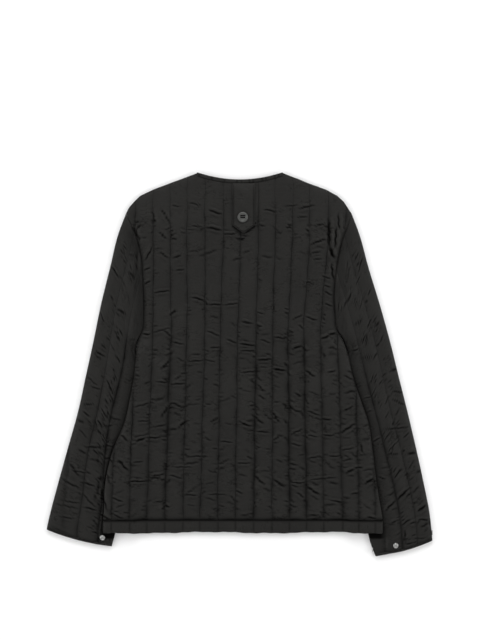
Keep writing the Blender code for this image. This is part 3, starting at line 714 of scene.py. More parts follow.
def gathers(rng, line_at, start, end, spacing, strength, lean=0.0):
    """Short creases off both sides of one line of stitching, in bunches with calm stretches between; they
    lean by an angle in degrees."""
    found = []
    for facing in (-1, 1):
        q = start + rng.uniform(0, 20)
        while q < end:
            for _ in range(rng.integers(1, 5)):
                length = rng.uniform(6, 17)
                slope = math.radians(rng.normal(lean, 27))
                middle = line_at(q) + facing * length * rng.uniform(0.25, 0.6) * math.cos(slope)
                depth = strength * rng.uniform(0.25, 1.0)
                found.append((middle, q, length, slope, depth, rng.uniform(1.1, 2.1), rng.normal(0, 1.2)))
                q += rng.uniform(3.0, 8.0)
            q += spacing(q) * rng.uniform(0.6, 2.4)
    return found


def cross_creases(rng, line_at, next_at, start, end, spacing, strength, lean=0.0):
    """Creases across much of a channel between two lines of stitching, some of them on into the next."""
    found = []
    q = start + rng.uniform(5, 50)
    while q < end:
        low, high = line_at(q), next_at(q)
        length = (high - low) * rng.choice((0.6, 0.85, 1.3), p=(0.5, 0.35, 0.15))
        slope = math.radians(rng.normal(lean, 18))
        depth = strength * rng.uniform(0.35, 1.0)
        middle = (low + high) / 2 + rng.normal(0, 6)
        found.append((middle, q, length, slope, depth, rng.uniform(1.2, 2.4), rng.normal(0, 2.0)))
        q += spacing(q) * rng.uniform(0.5, 1.8)
    return found


# ---- Meshes ----


def points(x, down, z):
    """World points in metres from places across, down and up in millimetres."""
    x, down, z = np.broadcast_arrays(x, down, z)
    return np.stack([x, MIDDLE_DOWN - down, z], axis=-1) * MM


def grid_faces(rows, columns, start=0, flip=False, closed=False, looped=False):
    """Four-sided faces over a grid of points, closed round its columns or looped to its first row."""
    row = np.arange(rows if looped else rows - 1)[:, None]
    column = np.arange(columns if closed else columns - 1)[None]
    next_row = (row + 1) % rows
    next_column = (column + 1) % columns
    a, b = row * columns + column, row * columns + next_column
    c, d = next_row * columns + column, next_row * columns + next_column
    faces = np.stack([a, c, d, b], axis=-1).reshape(-1, 4) + start
    return faces[:, ::-1] if flip else faces


def make_piece(name, vertices, faces, kind, node=None, uv=None, marks=None):
    """A smooth mesh piece on the frame's one body, with its faces turned out, its kind of finish, its own
    cloth map and its marks of painted shade and highlight. It stands for a node if one is named."""
    vertices = np.asarray(vertices).reshape(-1, 3)
    mesh = bpy.data.meshes.new(name)
    mesh.from_pydata(vertices.tolist(), [], [list(map(int, face)) for face in faces])
    turned_out = bmesh.new()
    turned_out.from_mesh(mesh)
    bmesh.ops.recalc_face_normals(turned_out, faces=turned_out.faces)
    turned_out.to_mesh(mesh)
    turned_out.free()
    corner = np.empty(len(mesh.loops), np.int32)
    mesh.loops.foreach_get("vertex_index", corner)
    if uv is None:
        uv = vertices[:, :2]
    layer = mesh.uv_layers.new(name="cloth")
    layer.data.foreach_set("uv", np.asarray(uv, np.float32).reshape(-1, 2)[corner].ravel())
    attribute = mesh.attributes.new("shade", "FLOAT", "POINT")
    if marks is not None:
        attribute.data.foreach_set("value", np.asarray(marks, np.float32).ravel())
    mesh.materials.append(finish_of(kind))
    mesh.shade_smooth()
    piece = bpy.data.objects.new(name, mesh)
    bpy.context.scene.collection.objects.link(piece)
    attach(piece, "root")
    if node:
        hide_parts(node)
    return piece


def rim_steps(count, step):
    """Every so many places of a border, with its last one."""
    return list(range(0, count - 1, step)) + [count - 1]


def panel_faces(rows, columns, row_step, column_step):
    """Faces of a closed panel: a fine upper grid, a coarse lower one, and a rim that joins their borders."""
    chosen_rows, chosen_columns = rim_steps(rows, row_step), rim_steps(columns, column_step)
    start = rows * columns
    wide = len(chosen_columns)
    faces = list(grid_faces(rows, columns)) + list(grid_faces(len(chosen_rows), wide, start, flip=True))
    for row, low_row in ((0, 0), (rows - 1, len(chosen_rows) - 1)):
        for place, (first, last) in enumerate(zip(chosen_columns, chosen_columns[1:])):
            upper = [row * columns + column for column in range(first, last + 1)]
            lower = [start + low_row * wide + place + 1, start + low_row * wide + place]
            faces.append(upper + lower)
    for column, low_column in ((0, 0), (columns - 1, wide - 1)):
        for place, (first, last) in enumerate(zip(chosen_rows, chosen_rows[1:])):
            upper = [row * columns + column for row in range(first, last + 1)]
            lower = [start + (place + 1) * wide + low_column, start + place * wide + low_column]
            faces.append(upper + lower)
    return faces, np.ix_(chosen_rows, chosen_columns)


def make_panel(name, fine, plain, steps, kind, marks, plain_painted_shade=0.0, node=None):
    """A closed panel: its fine side with marks of painted shade and highlight, and one point for so many of
    its plain side, all with one mark of painted shade.
    """
    faces, chosen = panel_faces(*fine.shape[:2], *steps)
    plain = plain[chosen].reshape(-1, 3)
    vertices = np.concatenate([fine.reshape(-1, 3), plain])
    marks = np.concatenate([marks.ravel(), np.full(len(plain), plain_painted_shade)])
    return make_piece(name, vertices, faces, kind, node, marks=marks)


def tube_faces(outer, inner):
    """Faces of a closed tube wall: its outer rings of points, then its inner ones back to the start."""
    return grid_faces(len(outer) + len(inner), outer.shape[1], closed=True, looped=True)


def strip_faces(stations, around):
    """Faces of a solid strip or turned shape: its sides, and its two ends."""
    faces = list(grid_faces(stations, around, closed=True))
    return faces + [np.arange(around), (stations - 1) * around + np.arange(around)[::-1]]


def strip_map(sections):
    """A cloth map for a strip: along its stations, and round its section."""
    along = np.linalg.norm(np.diff(sections.mean(axis=1), axis=0), axis=-1)
    along = np.concatenate([[0.0], np.cumsum(along)])
    around = np.linalg.norm(np.diff(sections, axis=1), axis=-1).mean(axis=0)
    around = np.concatenate([[0.0], np.cumsum(around)])
    return np.stack(np.broadcast_arrays(around[None], along[:, None]), axis=-1)


def make_strip(name, sections, node, marks=None):
    """A solid strip of plain nylon from its sections, with its marks of painted shade."""
    faces = strip_faces(*sections.shape[:2])
    return make_piece(name, sections, faces, "plain_nylon", node, strip_map(sections), marks)


def make_turned(name, profile, around, centre, axis, kind, node):
    """A turned shape from (radius, height) pairs, about an axis through a centre."""
    radius, height = np.asarray(profile, float).T * MM
    angle = np.linspace(0, math.tau, around, endpoint=False)
    axis = np.asarray(axis, float) / np.linalg.norm(axis)
    other = np.array([0.0, 1.0, 0.0]) if abs(axis[1]) < 0.9 else np.array([1.0, 0.0, 0.0])
    first = np.cross(other, axis)
    first /= np.linalg.norm(first)
    second = np.cross(axis, first)
    flat = first * np.cos(angle)[:, None] + second * np.sin(angle)[:, None]
    rings = np.asarray(centre) + radius[:, None, None] * flat + height[:, None, None] * axis
    return make_piece(name, rings, strip_faces(len(profile), around), kind, node)


def settled(name, start, held, cloth, upwards):
    """Lets a panel's cloth settle between its lines of stitching: its cut is longer than its place by the
    ease, the wadding presses it out, and it buckles. Points move no further than the cap."""
    if cloth.frames < 2:
        return start
    rows, columns = start.shape[:2]
    cut = (start - start.mean(axis=(0, 1))) * (1 + cloth.ease_across, 1 + cloth.ease_along, 1.0)
    faces = grid_faces(rows, columns, flip=not upwards)
    mesh = bpy.data.meshes.new(name)
    mesh.from_pydata(start.reshape(-1, 3).tolist(), [], faces.tolist())
    trial = bpy.data.objects.new(name, mesh)
    scene = bpy.context.scene
    scene.collection.objects.link(trial)
    trial.shape_key_add(name="place")
    key = trial.shape_key_add(name="cut")
    key.data.foreach_set("co", cut.astype(np.float32).ravel())
    pin = trial.vertex_groups.new(name="held")
    pin.add(np.flatnonzero(held.ravel()).tolist(), 1.0, "REPLACE")
    modifier = trial.modifiers.new("settle", "CLOTH")
    settings = modifier.settings
    settings.quality = 5
    settings.mass = 0.3
    settings.bending_model = "ANGULAR"
    settings.bending_stiffness = cloth.stiffness
    settings.vertex_group_mass = "held"
    settings.effector_weights.gravity = 0.0
    settings.use_pressure = True
    settings.uniform_pressure_force = cloth.pressure
    settings.rest_shape_key = key
    modifier.collision_settings.use_collision = False
    for number in range(1, cloth.frames + 1):
        scene.frame_set(number)
    finished = trial.evaluated_get(bpy.context.evaluated_depsgraph_get()).to_mesh()
    moved = np.empty(rows * columns * 3)
    finished.vertices.foreach_get("co", moved)
    moved = moved.reshape(start.shape)
    scene.frame_set(1)
    bpy.data.objects.remove(trial, do_unlink=True)
    bpy.data.meshes.remove(mesh)
    way = moved - start
    far = np.linalg.norm(way, axis=-1, keepdims=True)
    return start + way * np.minimum(1, cloth.cap / np.maximum(far, 1e-9))


def declared(area, rests_on, going=()):
    """Takes what a piece rests on and what goes with it, and keeps neither; its cut area, in square metres,
    is not used.
    """
    rests_on, going = list(rests_on), list(going)


def plan_area(x, down):
    """Flat area of a grid, in square metres: half the cross product of the diagonals of its faces."""
    first = np.stack([x[1:, 1:] - x[:-1, :-1], down[1:, 1:] - down[:-1, :-1]])
    second = np.stack([x[:-1, 1:] - x[1:, :-1], down[:-1, 1:] - down[1:, :-1]])
    return float(np.abs(first[0] * second[1] - first[1] * second[0]).sum() / 2) * MM * MM


# ---- Stitches ----


def walked(path, pitch):
    """Points and directions along a path at an even pitch."""
    steps = np.linalg.norm(np.diff(path, axis=0), axis=1)
    along = np.concatenate([[0.0], np.cumsum(steps)])
    at = np.arange(pitch / 2, along[-1], pitch)
    places, ahead, behind = (
        np.stack([np.interp(at + off, along, path[:, axis]) for axis in range(3)], axis=-1)
        for off in (0, pitch / 3, -pitch / 3)
    )
    way = ahead - behind
    return places, way / np.maximum(np.linalg.norm(way, axis=1, keepdims=True), 1e-9)


def make_stitches(name, paths, size, kind="thread", node=None):
    """Stitches along paths, joined in one mesh: each a thread of four sides, thin and sunk at both ends."""
    length, radius, pitch = size
    found = [walked(path, pitch) for path in paths if len(path) > 2]
    places = np.concatenate([entry[0] for entry in found])
    ways = np.concatenate([entry[1] for entry in found])
    up = np.array([0.0, 0.0, 1.0])
    side = np.cross(ways, up)
    side /= np.maximum(np.linalg.norm(side, axis=1, keepdims=True), 1e-9)
    top = np.cross(side, ways)
    angles = np.arange(4) * math.pi / 2
    along = np.array([-0.5, -0.3, 0.3, 0.5]) * length
    wide = np.array([0.35, 1.0, 1.0, 0.35]) * radius
    high = np.array([-0.7, 0.5, 0.5, -0.7]) * radius
    shape = (
        places[:, None, None]
        + ways[:, None, None] * along[None, :, None, None]
        + side[:, None, None] * (wide[:, None] * np.cos(angles))[None, ..., None]
        + top[:, None, None] * (high[:, None] + wide[:, None] * np.sin(angles))[None, ..., None]
    )
    one = grid_faces(4, 4, closed=True)
    ends = np.array([[0, 1, 2, 3], [15, 14, 13, 12]])
    one = np.concatenate([one, ends])
    faces = (one[None] + 16 * np.arange(len(places))[:, None, None]).reshape(-1, 4)
    make_piece(name, shape, faces, kind, node)


# ---- Finishes ----


class Value:
    """A number on a material's sockets; sums, differences and products of it add Math nodes."""

    def __init__(self, finish, socket):
        self.finish = finish
        self.socket = socket

    def __add__(self, other):
        return self.finish.math("ADD", self, other)

    def __radd__(self, other):
        return self.finish.math("ADD", other, self)

    def __sub__(self, other):
        return self.finish.math("SUBTRACT", self, other)

    def __rsub__(self, other):
        return self.finish.math("SUBTRACT", other, self)

    def __mul__(self, other):
        return self.finish.math("MULTIPLY", self, other)

    def __rmul__(self, other):
        return self.finish.math("MULTIPLY", other, self)

    def sine(self):
        return self.finish.math("SINE", self)

    def clamped(self):
        return self.finish.node("ShaderNodeMath", {"operation": "ADD", "use_clamp": True}, {0: self, 1: 0.0})


class Finish:
    """A material in the making, with its Principled shader."""

    def __init__(self, name):
        self.material = bpy.data.materials.new(name)
        self.material.use_nodes = True
        self.tree = self.material.node_tree
        self.shader = self.tree.nodes["Principled BSDF"]

    def node(self, kind, settings=None, inputs=None, output=0):
        """Adds a node with its settings and its sockets' values or links. Returns one output as a Value."""
        made = self.tree.nodes.new(kind)
        for name, value in (settings or {}).items():
            setattr(made, name, value)
        for name, value in (inputs or {}).items():
            self.feed(made.inputs[name], value)
        return Value(self, made.outputs[output])

    def feed(self, socket, value):
        """Links or sets one socket."""
        if isinstance(value, Value):
            self.tree.links.new(value.socket, socket)
        else:
            socket.default_value = value

    def math(self, operation, *values):
        """A Math node's result."""
        return self.node("ShaderNodeMath", {"operation": operation}, dict(enumerate(values)))

    def mix(self, factor, first, second):
        """A colour between two, by a factor."""
        inputs = {0: factor, 6: (*first, 1.0), 7: (*second, 1.0)}
        return self.node("ShaderNodeMix", {"data_type": "RGBA"}, inputs, 2)

    def noise(self, vector, scale, detail=2.0, roughness=0.5):
        """Even noise, about a half; a scale for each axis stretches it."""
        if isinstance(scale, tuple):
            vector = self.node("ShaderNodeMapping", {}, {"Vector": vector, "Scale": scale})
            scale = 1.0
        inputs = {"Vector": vector, "Scale": scale, "Detail": detail, "Roughness": roughness}
        return self.node("ShaderNodeTexNoise", {"noise_dimensions": "3D"}, inputs)

    def place(self):
        """The piece's own place."""
        return self.node("ShaderNodeTexCoord", output=3)

    def bump(self, height, distance):
        """Feeds a height to the shader's normal."""
        inputs = {"Height": height, "Distance": distance, "Strength": 1.0}
        self.feed(self.shader.inputs["Normal"], self.node("ShaderNodeBump", {}, inputs))

    def set(self, **values):
        """Sets the shader's sockets, with an underscore for each space."""
        for name, value in values.items():
            self.feed(self.shader.inputs[name.replace("_", " ")], value)

    def paint_shade(self, factor, colour):
        """Paints shade: lets a dull dark shader take over by a factor."""
        dull = self.tree.nodes.new("ShaderNodeBsdfDiffuse")
        dull.inputs["Color"].default_value = (*colour, 1.0)
        both = self.tree.nodes.new("ShaderNodeMixShader")
        self.feed(both.inputs[0], factor)
        self.tree.links.new(self.shader.outputs[0], both.inputs[1])
        self.tree.links.new(dull.outputs[0], both.inputs[2])
        self.tree.links.new(both.outputs[0], self.tree.nodes["Material Output"].inputs["Surface"])


def nylon(name, colour, crinkle):
    """Black nylon: a fine plain weave, small crinkles that lie across the cloth, and an uneven soft shine.
    Its colour has painted shade and highlight from each point's shade mark, and painted shade along thin
    crinkle lines.
    """
    finish = Finish(name)
    cloth = finish.node("ShaderNodeUVMap", {"uv_map": "cloth"})
    mark = finish.node("ShaderNodeAttribute", {"attribute_name": "shade"}, output=2)
    parts = finish.node("ShaderNodeSeparateXYZ", {}, {"Vector": cloth})
    across, along = parts, Value(finish, parts.socket.node.outputs[1])
    turns = math.tau / WEAVE_PITCH
    weave = (across * turns).sine() * (along * turns).sine()
    small = finish.noise(cloth, (70.0, 190.0, 1.0), 3.0, 0.55)
    fine = finish.noise(cloth, (240.0, 420.0, 1.0))
    tone = finish.noise(cloth, (9.0, 9.0, 1.0))
    patch = finish.noise(cloth, (24.0, 30.0, 1.0))
    level = finish.noise(cloth, (62.0, 150.0, 1.0))
    thin = (1.0 - finish.math("ABSOLUTE", level - 0.5) * 24.0).clamped()
    thin = thin * ((patch - 0.45) * 5.0).clamped() * crinkle
    # lit and shaded copies of the cloth's colour, for painted highlight and painted shade
    lit = tuple(min(1.0, part * 2.2) for part in colour)
    dark = tuple(part * 0.22 for part in colour)
    # random tone, times the painted shade or highlight of each point's mark
    shade = (tone * 0.3 + patch * 0.2 + fine * 0.17 + 0.035) * (1.0 - 0.7 * mark)
    rough = 0.42 + 0.14 * tone + 0.1 * fine + 0.2 * mark
    finish.set(Base_Color=finish.mix(shade.clamped(), dark, lit), Roughness=rough)
    finish.set(Sheen_Weight=0.02, Sheen_Roughness=0.4, Specular_IOR_Level=0.16, IOR=1.5)
    height = small * crinkle + fine * (0.35 * crinkle) + weave * 0.05 - 0.8 * thin
    finish.bump(height, 0.0006)
    # painted shade: a dull dark shader over the marked places and the thin crinkle lines
    finish.paint_shade((0.9 * mark + 0.5 * thin).clamped(), tuple(part * 0.15 for part in colour))
    return finish.material


def thread_finish(name, colour):
    """Twisted thread: fine slanting ridges and a dull surface."""
    finish = Finish(name)
    grain = finish.noise(finish.place(), (2600.0, 900.0, 2600.0))
    lit = tuple(part * 1.8 for part in colour)
    finish.set(Base_Color=finish.mix(grain, colour, lit), Roughness=0.7 + 0.2 * grain)
    finish.set(Specular_IOR_Level=0.04)
    finish.bump(grain, 0.0001)
    return finish.material


def plastic_finish(name, colour):
    """Dull moulded plastic with a faint mottle and fine scuffs."""
    finish = Finish(name)
    place = finish.place()
    mottle = finish.noise(place, 260.0, 3.0)
    scuffs = finish.noise(place, (400.0, 2400.0, 400.0))
    lit = tuple(min(1.0, part * 1.25) for part in colour)
    finish.set(Base_Color=finish.mix(mottle, colour, lit), Roughness=0.34 + 0.2 * scuffs)
    finish.bump(scuffs, 0.00003)
    return finish.material


def steel_finish(name, colour):
    """Satin steel with fine turned marks and a few softer spots."""
    finish = Finish(name)
    place = finish.place()
    spots = finish.noise(place, 420.0, 3.0)
    marks = finish.noise(place, (3000.0, 500.0, 3000.0))
    darker = tuple(part * 0.8 for part in colour)
    finish.set(Base_Color=finish.mix(spots, darker, colour), Metallic=1.0, Roughness=0.2 + 0.22 * marks)
    finish.bump(marks, 0.00002)
    return finish.material


def floor_finish(name, colour):
    """Plain matte card with a trace of grain."""
    finish = Finish(name)
    grain = finish.noise(finish.place(), 300.0)
    darker = tuple(part * 0.985 for part in colour)
    finish.set(Base_Color=finish.mix(grain, darker, colour), Roughness=0.9, Specular_IOR_Level=0.1)
    return finish.material


# The maker of each finish, its colour and, for nylon, how strong its crinkles are.
FINISHES = {
    "quilted_nylon": (nylon, "nylon", 1.0),
    "plain_nylon": (nylon, "nylon", 0.55),
    "tape": (nylon, "tape", 0.3),
    "thread": (thread_finish, "thread"),
    "stitch": (thread_finish, "stitch"),
    "button_plastic": (plastic_finish, "button"),
    "snap_steel": (steel_finish, "steel"),
    "floor": (floor_finish, "floor"),
}


def finish_of(kind):
    """The jacket's finishes by name, each made once."""
    name = kind + "_finish"
    maker, colour, *crinkle = FINISHES[kind]
    known = bpy.data.materials.get(name)
    return known or maker(name, getattr(bpy.context.scene.jacket_colours, colour), *crinkle)


# ---- Back ----


def body_spacing(q):
    """Spacing of the puckers down the body: wide near the neck, close in the lower half."""
    return float(np.interp(q, (90, 160, 300, 430, 640), (130, 100, 34, 20, 24)))


def body_cross_spacing(q):
    """Spacing of the creases that cross a channel."""
    return float(np.interp(q, (90, 200, 320, 450, 640), (220, 130, 62, 42, 48)))


def on_line(line):
    """A line of stitching as a function: its place across at a distance down."""
    return lambda q: float(quilt_x(line, q))


def body_creases(rng):
    """All creases of the back: the placed ones, then small ones off each line and across each channel."""
    found = placed_creases()
    for line in range(FIRST_LINE, LAST_LINE + 1):
        strength = 1.0 if line in HEAVY_LINES else COMMON_STRENGTH
        lean = math.copysign(LEAN, line)
        span = (GATHERS_START, CREASES_END)
        found += gathers(rng, on_line(line), *span, body_spacing, strength, lean)
        if line < LAST_LINE:
            channel = (on_line(line), on_line(line + 1), CROSSING_START, CREASES_END)
            found += cross_creases(rng, *channel, body_cross_spacing, COMMON_STRENGTH, lean / 3)
    return found


def back_grid(sizes, creases):
    """The back's outer side: places, heights, which points are stitched, and marks of painted shade and
    highlight. Its height is the lift, the wall at its seams, and the channels' puff less what the creases
    take, all rounded at its edges."""
    columns = column_table(CHANNEL_SHARES)
    x, down = body_plan(columns, back_top, BODY_UPPER_ROWS, BODY_LOWER_ROWS)
    x, stitched = on_lines(x, down, columns)
    rounded, risen = edge_shape(x, down, down[0])
    place = quilt_place(x, down)
    flatter = 1 - 0.55 * (1 - smooth((down - 25) / 80)) * channel_top(place) ** 0.5
    puff = sizes.puff / MM * channel_top(place) * puckered(down, np.floor(place)) * risen * flatter
    waves = np.sin(down / 14.0 + 3.1 * np.floor(place)) * np.sin(x / 19.0 + down / 37.0)
    puff = puff * (1 + 0.22 * waves * smooth((down - 90) / 120))
    taken, dark, light = creased(x, down, creases)
    puff = sunk(puff, taken) * np.where(stitched, 0, 1)
    edge = INNER_FLOOR + EDGE_WALL
    z = lift(x, down) + edge + (SEAM_TOP + puff - edge) * rounded
    # painted shade along the lines, beside the armholes, above the hem and under the tab's point
    shades = [shade(x, down) for shade in (line_painted_shade, armhole_painted_shade, hem_painted_shade, tab_painted_shade)]
    dark = np.maximum.reduce([dark, *shades])
    return x, down, z, stitched, painted_mark(dark, light)


def line_painted_shade(x, down):
    """Painted shade along the lines of stitching: faint near the shoulders, uneven along each, and wide if
    heavy.
    """
    line = np.round(quilt_place(x, down))
    off = np.abs(x - quilt_x(line, down))
    heavy = np.isin(line, HEAVY_LINES) * smooth((down - HEAVY_DOWN) / 60)
    uneven = 0.72 + 0.28 * np.sin(down / 17.0 + 2.1 * line) * np.sin(down / 7.9 + line)
    faint = 0.1 + 0.6 * smooth((down - 40) / 60) + 0.25 * smooth((down - 200) / 200)
    core = (0.58 + 0.22 * heavy) * bell(off, 1.9 + 0.8 * heavy)
    valley = (0.4 + 0.12 * heavy) * bell(off, 4.6 + 1.2 * heavy)
    return uneven * faint * np.maximum(core, valley)


def armhole_painted_shade(x, down):
    """Painted shade on the body beside its armholes, where it dips to the seam."""
    dark = np.zeros(x.shape)
    for side in SIDES:
        above = smooth((down - 90) / 30) * (1 - smooth((down - UNDERARM[side]) / LIFT_LENGTH))
        dark = np.maximum(dark, 0.5 * above * bell(side_inset(side, x, down), 4.0))
    return dark


def hem_painted_shade(x, down):
    """Painted shade on the back above the hem band, where it dips to the seam."""
    return (0.72 + 0.2 * np.sin(x / 23.0) * np.sin(x / 9.1)) * bell(HEM_SEAM_DOWN - down, 4.5)


def tab_painted_shade(x, down):
    """Painted shadow of the tab on the back below its point, most at the tab's corners."""
    half = TAB_WIDTH / 2
    off = np.abs(x - TAB_MIDDLE)
    tip = TAB_TIP_DOWN - TAB_POINT * off / half
    return (0.25 + 0.6 * np.minimum(off / half, 1)) * (off < half + 1) * bell(down - tip - 0.5, 3.0)


def folds(surface):
    """How deep each point of a grid lies in a fold, 0 to 1: the height of its neighbours along its column, at
    two distances on both sides, above its own."""
    z = surface[..., 2] / MM
    deep = np.zeros(z.shape)
    for step in FOLD_STEPS:
        beside = (np.roll(z, step, axis=0) + np.roll(z, -step, axis=0)) / 2
        deep = np.maximum(deep, (beside - z) / (0.35 * step))
    deep[: max(FOLD_STEPS)] = 0
    deep[-max(FOLD_STEPS):] = 0
    return np.clip(deep, 0, 1)


def line_paths(surface, stitched):
    """The paths of a grid's columns that are stitched all along."""
    return [surface[:, column] for column in np.flatnonzero(stitched.all(axis=0))]


def outer_paths(surface, x, down):
    """The paths of the lines that end at an edge, from the nearest points of each row."""
    paths = []
    for line in QUILT_LINES["line"]:
        if abs(line) <= OUTER_LINE:
            continue
        side = "left" if line < 0 else "right"
        off = np.abs(x - quilt_x(line, down))
        nearest = off.argmin(axis=1)
        rows = np.arange(len(x))
        reach = body_edge(side, down[rows, nearest]) - SIDES[side] * quilt_x(line, down[rows, nearest])
        on = np.flatnonzero((off[rows, nearest] < ON_LINE) & (reach > LINE_END + 1))
        for run in np.split(on, np.flatnonzero(np.diff(on) > 1) + 1):
            if len(run) > LEAST_RUN:
                paths.append(surface[run, nearest[run]])
    return paths


class JACKET_OT_back(bpy.types.Operator):
    """Makes the quilted back and lets its cloth settle"""

    bl_idname = "jacket.back"
    bl_label = "Back"

    def execute(self, context):
        sizes, cloth = context.scene.jacket_sizes, context.scene.jacket_cloth
        rng = np.random.default_rng(cloth.seed)
        x, down, z, stitched, marks = back_grid(sizes, body_creases(rng))
        held = stitched.copy()
        held[:2], held[-3:], held[:, :2], held[:, -2:] = True, True, True, True
        upper = settled("back_trial", points(x, down, z), held, cloth, True)
        inside = lift(x, down) + INNER_FLOOR
        upper[..., 2] = np.maximum(upper[..., 2], (inside + SHELL_WALL) * MM)
        deep = sizes.groove * (0.2 + 0.8 * smooth((down - 30) / 70))
        upper[..., 2] -= np.where(stitched & ~np.isclose(down, down[0]), deep, 0)
        # painted shade in the folds that the cloth settled into
        marks = joined(marks, BACK_FOLD_PAINTED_SHADE * folds(upper))
        lower = points(x, down, inside)
        piece = make_panel("quilted_back", upper, lower, LINING_STEPS, "quilted_nylon", marks, node="back")
        paths = line_paths(upper, stitched) + outer_paths(upper, x, down)
        make_stitches("back_stitches", [path + STITCH_LIFT for path in paths], QUILT_STITCH, "stitch")
        area = PUFF_EASE * plan_area(x, down)
        declared(area, ["front_left", "front_right"], ["back_stitches"])
        return {"FINISHED"}


# ---- Fronts ----


def underarm_drop(x, down):
    """How far the fronts' sides hang down, 0 to 1: from the underarm until the sleeve passes under."""
    drop = np.zeros(x.shape)
    for side in SIDES:
        along = smooth((down - UNDERARM[side] + 4) / 8) * smooth((SLEEVE_TUCK["down"][0] + 6 - down) / 8)
        drop = np.maximum(drop, along * smooth((14 - side_inset(side, x, down)) / 11))
    return drop


class JACKET_OT_fronts(bpy.types.Operator):
    """Makes the two fronts under the back, quilted on the side that lies on the surface"""

    bl_idname = "jacket.fronts"
    bl_label = "Fronts"

    def execute(self, context):
        rng = np.random.default_rng(context.scene.jacket_cloth.seed + 1)
        columns = column_table(FRONT_SHARES)
        middle = np.flatnonzero((columns[:, 0] == 0) & (columns[:, 1] == 0))[0]
        creases = body_creases(rng)[len(CREASES["x"]):]
        for side, sign in SIDES.items():
            chosen = columns[: middle + 1] if side == "left" else columns[middle:]
            x, down = body_plan(chosen, front_top, FRONT_UPPER_ROWS, FRONT_LOWER_ROWS)
            x, stitched = on_lines(x, down, chosen)
            centre = -1 if side == "left" else 0
            x[:, centre] = sign * SEAM_GAP / 2
            stitched[:, centre] = False
            rounded, risen = edge_shape(x, down, down[0])
            taken, dark, _ = creased(x, down, creases)
            puff = channel_top(quilt_place(x, down)) * risen * (1 - np.clip(taken, -0.2, 0.9))
            puff = np.where(stitched, 0, np.clip(puff, 0, 1))
            recess = FRONT_RECESS * (1 - puff)
            lowest = (FRONT_WALL - EDGE_WALL) * (1 - rounded)
            under = np.minimum(lowest + recess * rounded, FRONT_WALL - EDGE_WALL)
            drop = underarm_drop(x, down)
            lower = points(x, down, (lift(x, down) + under) * (1 - drop) + HANG_HEIGHT * drop)
            upper = points(x, down, lift(x, down) + FRONT_WALL)
            # painted shade in the creases, along the lines and at the sides; the plain upper side, under the
            # back, is painted in shade too
            side_painted_shade = 0.7 * bell(side_inset(side, x, down), 3.0)
            dark = np.maximum.reduce([dark, line_painted_shade(x, down), side_painted_shade])
            name, node = f"quilted_front_{side}", f"front_{side}"
            piece = make_panel(name, lower, upper, LINING_STEPS, "quilted_nylon", dark, 0.7, node)
            declared(PUFF_EASE * plan_area(x, down), ["floor"])
        return {"FINISHED"}


# ---- Sleeves ----


def seam_reach(side, down):
    """Distance from a sleeve's outer edge to the armhole seam and the side of the body."""
    return read(SLEEVE_OUTER, side, down) - body_edge(side, down) - SEAM_GAP / 2


def inner_reach(side, down):
    """Distance from a sleeve's outer edge to its inner edge."""
    return seam_reach(side, down) + read(SLEEVE_TUCK, side, down) - UNDERARM_GAP


def cuff_down(side, reach):
    """Distance down to the cuff's edge at a distance from the sleeve's outer edge."""
    outer, inner = CUFF_CORNERS[side]
    share = reach / inner_reach(side, inner)
    return outer + (inner - outer) * share + CUFF_BOW * np.sin(math.pi * np.clip(share, 0, 1)) ** 0.8


def sleeve_reach(side, zone, part, down):
    """Distance from the outer edge of a place in the first zone, up to the first line, or in the second."""
    first = read(SLEEVE_LINES, f"{side}_first", down)
    second = read(SLEEVE_LINES, f"{side}_second", down)
    return part * first if zone == 0 else first + part * (second - first)


def head_path(side, zone, part, stations, trim):
    """Places across and down of a point between two lines of stitching that start at the armhole."""
    seam = np.linspace(SLEEVE_OUTER["down"][0], UNDERARM[side], 60)
    start = sleeve_reach(side, zone, part, seam[0])
    begin = np.interp(start, np.maximum.accumulate(seam_reach(side, seam)), seam)
    end = cuff_down(side, sleeve_reach(side, zone, part, CUFF_CORNERS[side][1])) - trim
    down = begin + (end - begin) * stations
    free = smooth(stations / HEAD_LENGTH)
    across = (1 - free) * seam_reach(side, begin) + free * sleeve_reach(side, zone, part, down)
    return np.array([read(SLEEVE_OUTER, side, down) - across, down])


def inner_path(side, stations, trim):
    """Places across and down of a sleeve's inner edge, from the underarm to the cuff."""
    below = (UNDERARM[side], UNDERARM_END, CUFF_CORNERS[side][1] - trim)
    down = np.interp(stations, (0.0, UNDERARM_SHARE, 1.0), below)
    return np.array([read(SLEEVE_OUTER, side, down) - inner_reach(side, down), down])


# Columns over a sleeve's upper side from its outer edge: zone 0 up to the first line, 1 up to the second, 2
# up to the side of the body, 3 under it to the inner edge. Each has its part of the way over the zone.
SLEEVE_SHARES = (
    (0.0, 0.03, 0.07, 0.12, 0.19, 0.28, 0.38, 0.49, 0.6, 0.7, 0.8, 0.88, 0.96),
    (0.0, 0.04, 0.11, 0.2, 0.3, 0.41, 0.53, 0.65, 0.76, 0.86, 0.95),
    (0.0, 0.05, 0.13, 0.22, 0.33, 0.45, 0.57, 0.69, 0.81, 0.91, 1.0),
    (0.3, 0.55, 0.75, 0.86, 0.93, 0.98, 1.0),
)


